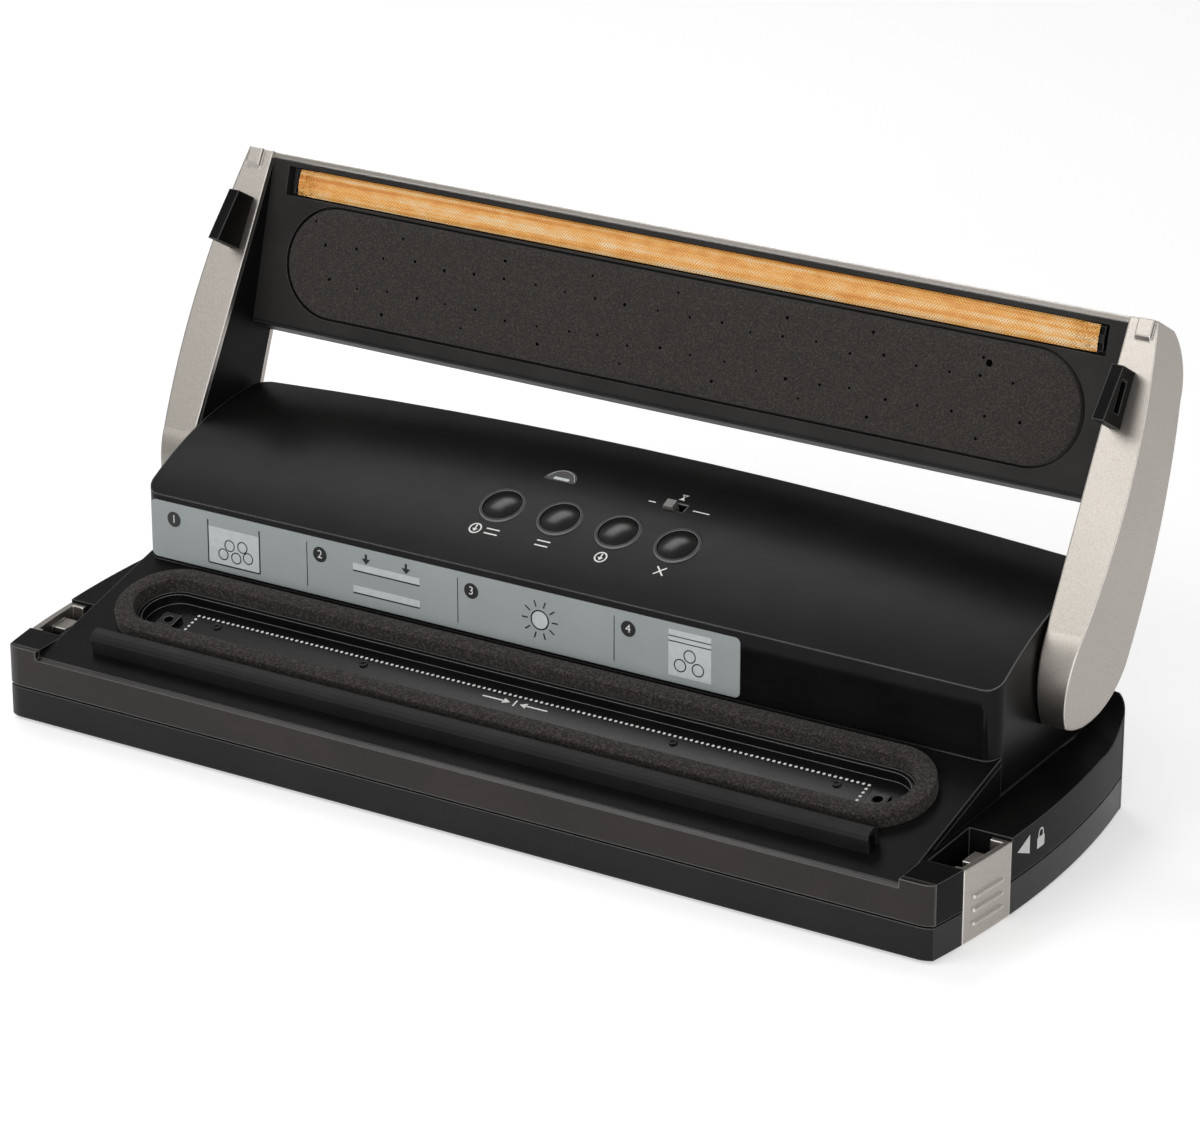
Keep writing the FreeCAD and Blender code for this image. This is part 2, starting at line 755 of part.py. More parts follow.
# Console: a box with rounded front corners under a crowned, rising top
def console_form(inset):
    """The console's outside, or its inside when drawn in by a wall."""
    half = console_half - inset
    sections = []
    for y, top, crown in ((0, d.console_front_top, d.console_front_crown),
                          (d.console_mid_setback, d.console_mid_top, d.console_mid_crown),
                          (d.console_depth, d.console_rear_top, d.console_rear_crown)):
        place = console_front + y
        left = Vector(-console_half, place, top - inset)
        right = Vector(console_half, place, top - inset)
        crest = Vector(0, place, top + crown - inset)
        foot_right = Vector(console_half, place, 0)
        foot_left = Vector(-console_half, place, 0)
        sections.append(Part.Wire([arc(left, crest, right), line(right, foot_right),
                                   line(foot_right, foot_left), line(foot_left, left)]))
    crown_solid = Part.makeLoft(sections, True, inset > 0)
    y0, y1 = console_front + inset, console_rear - inset
    column = block(-half, half, y0, y1, 0, TALL)
    upright = [edge for edge in column.Edges if abs(edge.tangentAt(edge.FirstParameter).z) > 0.9]
    column = column.makeFillet(max(d.console_corner - inset, 1.0), upright)
    return crown_solid.common(column)


console_outside = console_form(0)


def console_top(x, y):
    """Height of the console's outer top at a place."""
    upright = line(Vector(x, y, d.hinge_height), Vector(x, y, TALL))
    return console_outside.common(upright).BoundBox.ZMax


controls_y = console_front + d.button_setback
controls_z = console_top(0, controls_y)
half_step = d.button_radius
controls_slope = math.degrees(math.atan2(
    console_top(0, controls_y + half_step) - console_top(0, controls_y - half_step), 2 * half_step))
# Frame of the controls: X along the row of buttons, Y up the console's slope, Z out of its top
controls = Placement(Vector(0, controls_y, controls_z), Rotation(X_AXIS, controls_slope))


def control_height(u, v):
    """Height of the console's top over the plane of the controls, near a place in that plane."""
    foot = controls.multVec(Vector(u, v, -d.board_drop))
    tip = controls.multVec(Vector(u, v, d.board_drop))
    top = console_outside.common(line(foot, tip)).Vertexes
    return max(controls.inverse().multVec(vertex.Point).z for vertex in top)


button_places = [((i - (d.button_count - 1) / 2) * d.button_pitch) for i in range(int(d.button_count))]
post_rows = (d.board_post_width - d.board_front, d.board_back - d.board_post_width)
post_places = [(sx * (d.board_length / 2 - d.board_post_width), v) for sx in (-1, 1) for v in post_rows]
hinge_boss = d.hinge_pin_radius + d.hinge_boss_wall


def in_controls(shape):
    shape.Placement = controls.multiply(shape.Placement)
    return shape


def half_disc(radius, h0, h1):
    """A half-moon column with its straight edge to the front, about the lens's place."""
    disc = Part.makeCylinder(radius, h1 - h0, Vector(d.lens_offset, d.row_gap, h0), Z_AXIS, 180)
    return in_controls(disc)


def console_housing():
    shell = console_outside.cut(console_form(d.console_wall))
    posts = [in_controls(Part.makeBox(d.board_post_width, d.board_post_width, 2 * d.board_drop,
                                      Vector(u - d.board_post_width / 2, v - d.board_post_width / 2,
                                             -d.board_drop + d.board_thickness)))
             for u, v in post_places]
    bosses = [rod(Vector(side * (console_half - d.hinge_boss_depth), hinge.y, hinge.z),
                  Vector(side * console_half, hinge.y, hinge.z), hinge_boss) for side in SIDES.values()]
    shell = shell.fuse([item.common(console_outside) for item in posts + bosses])
    shell = shell.cut(housing_outside)
    hole_radius = d.button_radius + d.button_gap
    for u in button_places:
        bezel_top = control_height(u, 0) + d.bezel_height
        bezel = in_controls(Part.makeCylinder(hole_radius + d.bezel_width, d.console_wall + d.bezel_height,
                                              Vector(u, 0, bezel_top - d.bezel_height - d.console_wall)))
        shell = shell.fuse(bezel)
    for u in button_places:
        shell = shell.cut(in_controls(Part.makeCylinder(hole_radius, 2 * d.board_drop,
                                                        Vector(u, 0, -d.board_drop))))
    shell = shell.cut(half_disc(d.lens_radius + d.lens_clearance, -d.board_drop, d.board_drop))
    slot = Part.makeBox(d.slider_slot_length, d.slider_slot_width, 2 * d.board_drop,
                        Vector(d.slider_offset - d.slider_slot_length / 2,
                               d.row_gap - d.slider_slot_width / 2, -d.board_drop))
    shell = shell.cut(in_controls(slot))
    for side in SIDES.values():
        shell = shell.cut(rod(Vector(side * (console_half - 2 * d.hinge_boss_depth), hinge.y, hinge.z),
                              Vector(side * (console_half + 1), hinge.y, hinge.z), d.hinge_pin_radius))
    return shell


feature("lower_shell", lower_shell())
# The upper half is a front fascia, two side caps with the latch pockets and a frame under the console
shell = upper_shell()
fascia_back = front_y + d.shell_wall
feature("front_fascia", shell.common(block(-TALL, TALL, -TALL, fascia_back, 0, TALL)))
feature("upper_housing", shell.common(block(-deck_half, deck_half, fascia_back, TALL, 0, TALL)))
for name, side in SIDES.items():
    feature(f"side_cap_{name}", shell.common(side_block(side, deck_half, TALL, fascia_back, TALL, 0, TALL)))
feature("deck_plate", deck_plate())
feature("console_housing", console_housing())

# Vacuum chamber: a sunk tray with a flange under the deck, and a foam ring round it
on_ring = deck_frame.multiply(Placement(Vector(0, d.ring_setback, 0), Rotation()))

tray = new_body("chamber_tray", on_ring)
pad(tray, draw_stadium(tray, "XY_Plane", "TrayRim", RING_STRAIGHT, TRAY_RADIUS), "tray_depth + tray_floor",
    down=True)
flange_sketch = draw_stadium(tray, "XY_Plane", "TrayFlange", RING_STRAIGHT, f"{TRAY_RADIUS} + tray_flange")
flange_sketch.AttachmentOffset = Placement(Vector(0, 0, -d.shell_wall), Rotation())
pad(tray, flange_sketch, "tray_depth + tray_floor - shell_wall", down=True)
pocket(tray, draw_stadium(tray, "XY_Plane", "TrayHollow", RING_STRAIGHT, f"{TRAY_RADIUS} - tray_wall"),
       "tray_depth")
port_hole = draw_outline(tray, "XY_Plane", "PortHoles", [
    (f"{PORT_REACH} - port_radius", "-port_lead - port_radius"),
    (f"{PORT_REACH} + port_radius", "-port_lead - port_radius"),
    (f"{PORT_REACH} + port_radius", "-port_lead + port_radius"),
    (f"{PORT_REACH} - port_radius", "-port_lead + port_radius")])
pocket(tray, port_hole, "2 * (tray_depth + tray_floor)")
mirror = tray.newObject("PartDesign::Mirrored", "OtherPort")
mirror.Originals = [tray.Tip]
mirror.MirrorPlane = (port_hole, ["V_Axis"])
tray.Tip = mirror
doc.recompute()

ring = new_body("base_foam_ring", on_ring)
pad(ring, draw_stadium(ring, "XY_Plane", "RingOutside", RING_STRAIGHT, "ring_radius"), "ring_height")
pocket(ring, draw_stadium(ring, "XY_Plane", "RingInside", RING_STRAIGHT, "ring_radius - ring_band"),
       "ring_height", up=True)

# Suction ports: square-footed nozzles through the tray's floor, with a stem for the hose
tray_bottom = -(d.tray_depth + d.tray_floor)
for name, side in SIDES.items():
    place = on_ring.multiply(Placement(Vector(side * number(PORT_REACH), -d.port_lead, 0), Rotation()))
    port = new_body(f"chamber_port_{name}", place)
    foot = draw_box(port, "XY_Plane", "Foot", "port_radius", "-port_radius", "port_radius")
    foot.AttachmentOffset = Placement(Vector(0, 0, tray_bottom), Rotation())
    pad(port, foot, "tray_floor + port_rise")
    flange = draw_box(port, "XY_Plane", "Flange", "port_radius + port_flange", "-port_radius - port_flange",
                      "port_radius + port_flange")
    flange.AttachmentOffset = Placement(Vector(0, 0, tray_bottom), Rotation())
    pad(port, flange, "port_flange", down=True)
    stem = draw_circle(port, "XY_Plane", "Stem", "hose_radius")
    stem.AttachmentOffset = Placement(Vector(0, 0, tray_bottom), Rotation())
    pad(port, stem, "port_stem", down=True)
    bore = draw_circle(port, "XY_Plane", "Bore", "port_bore")
    pocket(port, bore, "2 * (tray_depth + tray_floor + port_stem)", middle=True)

# Rubber strip: an inverted U with a crowned top
strip = new_body("seal_strip", deck_frame.multiply(Placement(Vector(0, d.strip_setback, 0), Rotation())))
HALF_STRIP = "strip_width / 2"
STRIP_HOLLOW = "strip_width / 2 - strip_wall"
strip_outline = draw_outline(strip, "YZ_Plane", "StripOutline", [
    (f"-{HALF_STRIP}", "0"), (f"-({STRIP_HOLLOW})", "0"),
    (f"-({STRIP_HOLLOW})", "strip_height - strip_wall"), (STRIP_HOLLOW, "strip_height - strip_wall"),
    (STRIP_HOLLOW, "0"), (HALF_STRIP, "0"), (HALF_STRIP, "strip_height - strip_crown"),
    (f"{HALF_STRIP} - 0.4 * strip_crown", "strip_height - 0.4 * strip_crown"),
    (f"{HALF_STRIP} - strip_crown", "strip_height"), (f"-{HALF_STRIP} + strip_crown", "strip_height"),
    (f"-{HALF_STRIP} + 0.4 * strip_crown", "strip_height - 0.4 * strip_crown"),
    (f"-{HALF_STRIP}", "strip_height - strip_crown")])
pad(strip, strip_outline, STRIP_LENGTH, middle=True)

# Lid arms: silver channels with a hinge boss, closed inside by black liners
for name, side in SIDES.items():
    reach = TALL
    column = bow_solid(side, d.arm_inset)
    hollow_column = bow_solid(side, d.arm_inset + d.arm_wall)
    x0, x1 = sorted((side * arm_inner, side * reach))
    form = arm_solid(x0, x1)
    arm = form.common(column)
    hollow = arm_solid(x0, x1, d.arm_wall)
    arm = arm.cut(hollow.common(hollow_column))
    nose_x = arm_inner + d.nose_offset
    nose = polygon_yz([(arm_front, under_z), (arm_front, under_z - d.nose_drop),
                       (arm_front + d.nose_length - d.nose_drop, under_z - d.nose_drop),
                       (arm_front + d.nose_length, under_z)],
                      *sorted((side * nose_x, side * (nose_x + d.nose_width))))
    arm = arm.fuse(nose.common(column))
    boss_start = Vector(side * arm_inner, hinge.y, hinge.z)
    boss_end = Vector(side * reach, hinge.y, hinge.z)
    boss = rod(boss_start, boss_end, d.hinge_pin_radius + d.hinge_boss_wall).common(form).common(column)
    arm = arm.fuse(boss)
    pin_end = side_x(hinge.y) - d.arm_inset - d.arm_wall
    bore = rod(boss_start, Vector(side * pin_end, hinge.y, hinge.z), d.hinge_pin_radius + d.hinge_clearance)
    feature(f"lid_arm_{name}", arm.cut(bore), lid_turn)
    liner = arm_solid(*sorted((side * arm_inner, side * (arm_inner + d.liner_thickness))), d.arm_wall)
    liner = liner.cut(rod(boss_start, boss_end, hinge_boss))
    feature(f"arm_liner_{name}", liner, lid_turn)
    pin_tip = Vector(side * (pin_end - d.pin_end_gap), hinge.y, hinge.z)
    pin_root = Vector(side * (console_half - d.hinge_boss_depth), hinge.y, hinge.z)
    length = f"{(pin_tip - pin_root).Length}"
    keep(cylinder_at(f"hinge_pin_{name}", "hinge_pin_radius", length, pin_root, pin_tip - pin_root),
         f"hinge_pin_{name}")

# Lid bar: the silver cover between the arms, open towards the deck
bar_rear = console_front - d.bar_rear_gap


def panel_z(y, h):
    """Height of the plane that lies h above the closed lid's panel face."""
    return deck_z(y) + (d.panel_lift + h) / deck_cos


def bar_form(inset, h, rear_inset=0.0):
    """The closed bar between the arms, drawn in by walls, down to a height over the panel's face."""
    face = arm_solid(-arm_inner, arm_inner, inset)
    front = arm_front + inset
    rear = bar_rear - rear_inset
    under = polygon_yz([(front, panel_z(front, h)), (rear, panel_z(rear, h)), (rear, TALL), (front, TALL)],
                       -arm_inner, arm_inner)
    return face.common(under)


# The panel runs past the cover's rear wall, which stands on it
panel_block = bar_form(d.bar_wall, 0).cut(bar_form(d.bar_wall, d.panel_thickness))
cover = bar_form(0, 0).cut(bar_form(d.bar_wall, d.panel_thickness, d.bar_wall)).cut(panel_block)
feature("lid_cover", cover, lid_turn)

# Inner panel: fills the bar's mouth, with a recess for the foam and a slot for the heater
pad_straight = number(PAD_STRAIGHT)
face_h = d.panel_lift


def pad_column(radius, h0, h1):
    ends = [Part.makeCylinder(radius, h1 - h0, Vector(x, d.pad_setback, h0))
            for x in (-pad_straight, pad_straight)]
    solid = ends[0].fuse([ends[1], Part.makeBox(2 * pad_straight, 2 * radius, h1 - h0,
                                                Vector(-pad_straight, d.pad_setback - radius, h0))])
    solid.Placement = deck_frame
    return solid


panel = panel_block.cut(pad_column(d.pad_radius + d.pad_clearance, 0, face_h + d.pad_recess))
slot_half = number(SLOT_LENGTH) / 2
slot = Part.makeBox(2 * slot_half, d.slot_width, face_h + d.slot_depth,
                    Vector(-slot_half, d.slot_setback - d.slot_width / 2, 0))
slot.Placement = deck_frame
feature("lid_inner_panel", panel.cut(slot), lid_turn)


def on_lid(setback, h):
    """A place in the closed lid: along the deck's slope and above the deck, turned open."""
    return lid_turn.multiply(deck_frame).multiply(Placement(Vector(0, setback, h), Rotation()))


foam = new_body("lid_foam_pad", on_lid(d.pad_setback, face_h - d.pad_proud))
pad(foam, draw_stadium(foam, "XY_Plane", "PadOutline", PAD_STRAIGHT, "pad_radius"),
    "pad_proud + pad_recess")

slot_floor = face_h + d.slot_depth
carrier = new_body("heater_carrier", on_lid(d.slot_setback, slot_floor - d.carrier_thickness))
pad(carrier, draw_box(carrier, "XY_Plane", "CarrierOutline", f"{CARRIER_LENGTH} / 2", "-carrier_width / 2",
                      "carrier_width / 2"), "carrier_thickness")
wire = new_body("heating_wire", on_lid(d.slot_setback, slot_floor - d.carrier_thickness - d.wire_thickness))
pad(wire, draw_box(wire, "XY_Plane", "WireOutline", f"{CARRIER_LENGTH} / 2", "-wire_width / 2",
                   "wire_width / 2"), "wire_thickness")
tape_h = slot_floor - d.carrier_thickness - d.wire_thickness - d.tape_thickness
tape = new_body("ptfe_tape", on_lid(d.slot_setback, tape_h))
pad(tape, draw_box(tape, "XY_Plane", "TapeOutline", f"{TAPE_LENGTH} / 2", "-tape_width / 2",
                   "tape_width / 2"), "tape_thickness")

# Lid catches: tongues with a notch in their outer side, under the arms
for name, side in SIDES.items():
    catch = new_body(f"lid_catch_{name}", lid_turn.multiply(Placement(
        Vector(side * (catch_x + d.catch_thickness / 2), front_y + d.catch_setback, d.arm_under_height),
        Rotation())))
    pad(catch, draw_outline(catch, "YZ_Plane", "CatchOutline", [
        ("0", "0"), ("0", "-catch_front_drop"), ("catch_length", "-catch_rear_drop"),
        ("catch_length", "0")]), "catch_thickness", middle=True)
    near, far = "catch_length / 2 - notch_length / 2", "catch_length / 2 + notch_length / 2"
    notch = draw_outline(catch, "YZ_Plane", "Notch", [
        (near, "-notch_drop"), (far, "-notch_drop"), (far, "-notch_drop - notch_height"),
        (near, "-notch_drop - notch_height")])
    notch.AttachmentOffset = Placement(Vector(0, 0, side * d.catch_thickness / 2), Rotation())
    pocket(catch, notch, "notch_depth", up=side < 0)

# Latches: flush ribbed covers on a pivot, with a hook that swings into the catch
latch_top = d.block_height - d.latch_gap
hook_top = d.arm_under_height - d.latch_hook_drop
for name, side in SIDES.items():
    skin = plan_solid(floor_z, TALL / 8)
    inside = plan_solid(0, TALL / 2, d.latch_plate)
    zone = side_block(side, deck_half, TALL, latch_y0, latch_y1, floor_z, latch_top)
    body = skin.common(zone)
    returns = side_block(side, side_x(latch_y0) - d.latch_return, TALL, latch_y0, latch_y1, floor_z,
                         latch_top)
    core = side_block(side, 0, TALL, latch_y0 + d.latch_plate, latch_y1 - d.latch_plate, 0, TALL)
    latch = body.common(returns).cut(inside.common(core))
    start = Vector(side * pivot_x, latch_y0, d.latch_pivot_height)
    end = Vector(side * pivot_x, latch_y1, d.latch_pivot_height)
    barrel_radius = d.latch_pin_radius + d.latch_barrel_wall
    web = side_block(side, pivot_x, TALL, latch_y0, latch_y1, d.latch_pivot_height - barrel_radius,
                     d.latch_pivot_height + barrel_radius)
    latch = latch.fuse([rod(start, end, barrel_radius), web.common(body)])
    hook_x = catch_x + d.catch_thickness + d.latch_hook_gap
    hook_middle = front_y + d.catch_setback + d.catch_length / 2
    hook = side_block(side, hook_x, TALL, hook_middle - d.latch_hook_length / 2,
                      hook_middle + d.latch_hook_length / 2, hook_top - d.latch_hook_height, hook_top)
    latch = latch.fuse(hook.common(skin))
    outside = plan_solid(floor_z, TALL / 8, -d.rib_proud)
    rib_middle = (latch_y0 + latch_y1) / 2
    for i in range(int(d.rib_count)):
        z = d.rib_first_height + i * d.rib_pitch
        rib = side_block(side, side_x(latch_y0) - d.latch_plate, TALL, rib_middle - d.rib_length / 2,
                         rib_middle + d.rib_length / 2, z - d.rib_width / 2, z + d.rib_width / 2)
        latch = latch.fuse(rib.common(outside).cut(inside))
    latch = latch.cut(rod(start, end, d.latch_pin_radius + d.hinge_clearance))
    feature(f"latch_{name}", latch)
    pin_start, pin_finish = latch_pin_line(side)
    keep(cylinder_at(f"latch_pin_{name}", "latch_pin_radius",
                     "latch_length + 2 * latch_gap + 2 * pocket_wall", pin_start, Y_AXIS),
         f"latch_pin_{name}")

# Buttons: domed caps with a stem down to their switches
board_top = -d.board_drop + d.board_thickness
for place_in_row, u in enumerate(button_places, start=1):
    cap = new_body(f"button_{place_in_row}", controls.multiply(Placement(
        Vector(u, 0, control_height(u, 0)), Rotation())))
    profile = draw_cap(cap, "XZ_Plane", "CapOutline", "button_radius", "button_skirt", "button_dome")
    turn = cap.newObject("PartDesign::Revolution", "Cap")
    turn.Profile = profile
    turn.ReferenceAxis = (profile, ["V_Axis"])
    turn.Angle = 360
    doc.recompute()
    stem_room = control_height(u, 0) - board_top - d.button_skirt
    stem_length = stem_room - d.tact_height - d.button_travel - d.press_gap
    stem = draw_circle(cap, "XY_Plane", "Stem", "button_stem_radius")
    stem.AttachmentOffset = Placement(Vector(0, 0, -d.button_skirt), Rotation())
    pad(cap, stem, f"{stem_length}", down=True)

# Control board with its switches, light and slide switch
board_middle = (d.board_back - d.board_front) / 2
keep(box_at("control_board", "board_length", "board_front + board_back", "board_thickness", 0, board_middle,
            -d.board_drop, controls), "control_board")
group("tact_switches", [
    box_at(f"tact_switch_{i}", "tact_size", "tact_size", "tact_height", u, 0, board_top, controls)
    for i, u in enumerate(button_places, start=1)])
slider_top = control_height(d.slider_offset, d.row_gap)
keep(box_at("time_switch_body", "slider_slot_length + slider_travel", "slider_body_width",
            "slider_body_height", d.slider_offset, d.row_gap, board_top, controls), "time_switch_body")
knob_x = d.slider_offset - d.slider_travel / 2
knob_z = board_top + d.slider_body_height + d.slider_clearance
knob_height = f"{slider_top - knob_z} + slider_proud"
keep(box_at("time_switch_knob", "slider_slot_length - slider_travel - 2 * slider_clearance",
            "slider_slot_width - 2 * slider_clearance", knob_height, knob_x, d.row_gap, knob_z, controls),
     "time_switch_knob")
lens_top = control_height(d.lens_offset, d.row_gap + d.lens_radius / 2)
lens_bottom = lens_top - d.lens_thickness
feature("indicator_lens", half_disc(d.lens_radius, lens_bottom, lens_top))
keep(cylinder_at("status_led", "led_radius", f"{lens_bottom - board_top} - led_gap",
                 Vector(d.lens_offset, d.row_gap + d.led_radius, board_top), Z_AXIS, controls),
     "status_led")

# Vacuum pump: a motor, a pump head with its crank inside, and a hose from the right port
pump_x = number(PORT_REACH)
pump_back = console_rear - d.console_wall - d.pump_back_gap
pump_y = pump_back - d.pump_depth / 2
shaft_z = floor_top + d.pump_height / 2
nipple_z = floor_top + d.nipple_height
head_left = pump_x - d.pump_width / 2
head_outer = box_at("PumpCase", "pump_width", "pump_depth", "pump_height", pump_x, pump_y, floor_top)
head_inner = box_at("PumpHollow", "pump_width - 2 * pump_wall", "pump_depth - 2 * pump_wall",
                    "pump_height - 2 * pump_wall", pump_x, pump_y, floor_top + d.pump_wall)
shaft_hole = cylinder_at("PumpBearing", "shaft_radius + shaft_clearance", "pump_wall",
                         Vector(head_left, pump_y, shaft_z), X_AXIS)
head_hollow = fuse("PumpInside", [head_inner, shaft_hole])
hose_port = cylinder_at("PumpNipple", "hose_radius", "pump_wall",
                        Vector(pump_x, pump_y - d.pump_depth / 2 - d.pump_wall, nipple_z), Y_AXIS)
keep(fuse("pump_head", [cut("PumpShell", head_outer, head_hollow), hose_port]), "pump_head")

motor_end = head_left
motor_can = cylinder_at("MotorCan", "motor_radius", "motor_length",
                        Vector(motor_end - d.motor_length, pump_y, shaft_z), X_AXIS)
motor_foot = box_at("MotorFoot", "motor_length", "motor_radius", f"{shaft_z - floor_top}",
                    motor_end - d.motor_length / 2, pump_y, floor_top)
motor_bore = cylinder_at("MotorBore", "shaft_radius + shaft_clearance", "motor_length / 2",
                         Vector(motor_end - d.motor_length / 2, pump_y, shaft_z), X_AXIS)
keep(cut("pump_motor", fuse("MotorSolid", [motor_can, motor_foot]), motor_bore), "pump_motor")

crank_x = head_left + d.pump_wall + d.pump_wall
shaft_start = Vector(motor_end - d.motor_length / 2 + d.pin_end_gap, pump_y, shaft_z)
shaft = cylinder_at("CrankShaft", "shaft_radius", f"{crank_x - shaft_start.x}", shaft_start, X_AXIS)
disc = cylinder_at("CrankDisc", "crank_radius", "crank_width", Vector(crank_x, pump_y, shaft_z), X_AXIS)
throw = cylinder_at("CrankPin", "crank_pin_radius", "crank_pin_length",
                    Vector(crank_x + d.crank_width, pump_y, shaft_z + d.crank_pin_throw), X_AXIS)
keep(fuse("pump_crank", [shaft, disc, throw]), "pump_crank")

# Hose from the port's stem down to an elbow, then to the pump's nipple
stem_end = on_ring.multiply(Placement(Vector(pump_x, -d.port_lead, tray_bottom - d.port_stem), Rotation()))
hose_start = stem_end.Base
hose_down = stem_end.Rotation.multVec(Vector(0, 0, -1))
hose_elbow = hose_start + hose_down * ((nipple_z - hose_start.z) / hose_down.z)
hose_end = Vector(pump_x, pump_y - d.pump_depth / 2 - d.pump_wall, nipple_z)
hose = rod(hose_start, hose_elbow, d.hose_radius).fuse(rod(hose_elbow, hose_end, d.hose_radius))
feature("vacuum_hose", hose.fuse(Part.makeSphere(d.hose_radius, hose_elbow)))

# Transformer: an iron core with its coil
core_y = pump_y
core = box_at("TransformerCore", "transformer_width", "transformer_depth", "transformer_height",
              d.transformer_offset, core_y, floor_top)
coil = box_at("TransformerCoil", "transformer_width - 2 * coil_margin", "coil_depth",
              "transformer_height - 2 * coil_margin", d.transformer_offset, core_y,
              floor_top + d.coil_margin)
keep(fuse("transformer", [core, coil]), "transformer")

# Lid switches beside the latch pockets
for name, side in SIDES.items():
    switch_x = side * (deck_half - d.shell_wall - d.switch_width / 2)
    keep(box_at(f"lid_switch_{name}", "switch_width", "switch_length", "switch_height", switch_x,
                (pocket_y0 + pocket_y1) / 2, floor_top), f"lid_switch_{name}")

# Rear gland for the mains lead
gland = new_body("power_gland", Placement(Vector(d.gland_offset, rear_y, d.gland_height),
                                          Rotation(X_AXIS, -90)))
pad(gland, draw_circle(gland, "XY_Plane", "GlandFlange", "gland_radius + gland_flange"),
    "gland_flange_thickness")
pad(gland, draw_circle(gland, "XY_Plane", "GlandNeck", "gland_radius"), "2 * shell_wall", down=True)
pocket(gland, draw_circle(gland, "XY_Plane", "GlandBore", "gland_bore"), "8 * shell_wall", middle=True)

# Feet and screws under the base
group("rubber_feet", [
    cylinder_at(f"foot_{i}", "foot_radius", "foot_height + foot_recess", Vector(x, y, 0))
    for i, (x, y) in enumerate(foot_places, start=1)])
screws = []
for i, (x, y) in enumerate(screw_places, start=1):
    head = cylinder_at(f"screw_head_{i}", "screw_head_radius", "screw_head_height", Vector(x, y, floor_z))
    shank = cylinder_at(f"screw_shank_{i}", "screw_radius", "lower_height + screw_grip",
                        Vector(x, y, floor_z))
    screws.append(fuse(f"screw_{i}", [head, shank]))
group("housing_screws", screws)

# The frame's origin goes under the middle of the finished object's outline
doc.recompute()
lid_back = max(lid_turn.multVec(point).y for edge in arm_all for point in edge.discretize(200))
to_middle = Placement(Vector(0, -(front_y + lid_back) / 2, 0), Rotation())
for item in parts:
    item.Placement = to_middle.multiply(item.Placement)

# Checks, then one file for each sub-part
doc.recompute()
faults = [item.Label for item in doc.Objects if {"Invalid", "Error"} & set(item.State)]
faults += [item.Label for item in parts if item.Shape.isNull() or not item.Shape.isValid()]
faults += [item.Label for item in parts if not item.Shape.Solids]
if faults:
    raise RuntimeError(f"failed objects: {sorted(set(faults))}")
os.makedirs("parts", exist_ok=True)
for item in parts:
    item.Shape.exportStep(f"parts/{item.Label}.step")
    print(item.Label, len(item.Shape.Solids), round(item.Shape.Volume))
print("controls slope", round(controls_slope, 2), "shift", round(to_middle.Base.y, 3))
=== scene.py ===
# Looks of the vacuum sealer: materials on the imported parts, foam, tape, printed marks, light and camera
import bmesh
import bpy
import json
import math
import random
from mathutils import Matrix, Vector
from mathutils.bvhtree import BVHTree


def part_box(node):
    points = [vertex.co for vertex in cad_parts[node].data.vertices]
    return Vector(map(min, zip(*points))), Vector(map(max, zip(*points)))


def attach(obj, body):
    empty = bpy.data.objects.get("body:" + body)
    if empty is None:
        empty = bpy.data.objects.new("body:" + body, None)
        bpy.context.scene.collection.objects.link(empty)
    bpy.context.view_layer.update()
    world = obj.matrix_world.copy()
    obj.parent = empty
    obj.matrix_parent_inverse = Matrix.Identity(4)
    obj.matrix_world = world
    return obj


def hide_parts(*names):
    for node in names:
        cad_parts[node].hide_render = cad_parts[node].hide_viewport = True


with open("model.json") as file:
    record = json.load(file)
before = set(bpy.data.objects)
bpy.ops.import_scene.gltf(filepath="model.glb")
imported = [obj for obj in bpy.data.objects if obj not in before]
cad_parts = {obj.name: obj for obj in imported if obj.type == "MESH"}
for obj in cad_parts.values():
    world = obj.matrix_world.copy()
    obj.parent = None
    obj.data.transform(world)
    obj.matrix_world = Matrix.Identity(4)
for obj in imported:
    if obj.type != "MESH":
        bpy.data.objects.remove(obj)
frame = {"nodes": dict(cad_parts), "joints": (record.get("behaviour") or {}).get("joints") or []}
nodes = frame["nodes"]
joints = {joint["name"]: joint for joint in frame["joints"]}
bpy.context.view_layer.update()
MM = 0.001
MILLIMETRES = Matrix.Scale(MM, 4)

# Frames shared with the model: the sloped deck, the open lid and the slope of the controls
DECK_ANGLE = math.radians(14.6)
DECK_FRONT_HEIGHT = 26.45 * MM
front_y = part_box("front_fascia")[0].y
hinge = Vector(joints["lid_hinge"]["pos_m"])
lid_open = math.radians(joints["lid_hinge"]["range_deg"][1])
deck = Matrix.Translation((0, front_y, DECK_FRONT_HEIGHT)) @ Matrix.Rotation(DECK_ANGLE, 4, "X")
lid_turn = Matrix.Translation(hinge) @ Matrix.Rotation(-lid_open, 4, "X") @ Matrix.Translation(-hinge)
lid_deck = lid_turn @ deck
press = Vector(joints["button_1_press"]["axis"])
control_slope = math.atan2(press.y, -press.z)

# Helpers for material nodes
EDGE_SAMPLES = 8
# How well the flat and the softened normal agree where the painted edge highlight starts, and where it is
# full
HIGHLIGHT_START, HIGHLIGHT_FULL = 0.985, 0.80
# How squarely a face looks to the front where its gloss starts to change, and where it has changed
FRONT_START, FRONT_FULL = 0.75, 0.95
# Places of the colour sockets on a mix node
MIX_SHARE, MIX_FIRST, MIX_SECOND, MIX_RESULT = 0, 6, 7, 2


def new_material(name):
    """A new material, its node tree and its surface shader."""
    material = bpy.data.materials.new(name)
    material.use_nodes = True
    tree = material.node_tree
    return material, tree, tree.nodes["Principled BSDF"]


def feed(tree, node, inputs):
    """Gives each input of a node a fixed value or the output of another node."""
    for key, value in inputs.items():
        if isinstance(value, bpy.types.NodeSocket):
            tree.links.new(value, node.inputs[key])
        else:
            node.inputs[key].default_value = value


def add_node(tree, kind, inputs=None, **settings):
    node = tree.nodes.new(kind)
    for key, value in settings.items():
        setattr(node, key, value)
    feed(tree, node, inputs or {})
    return node


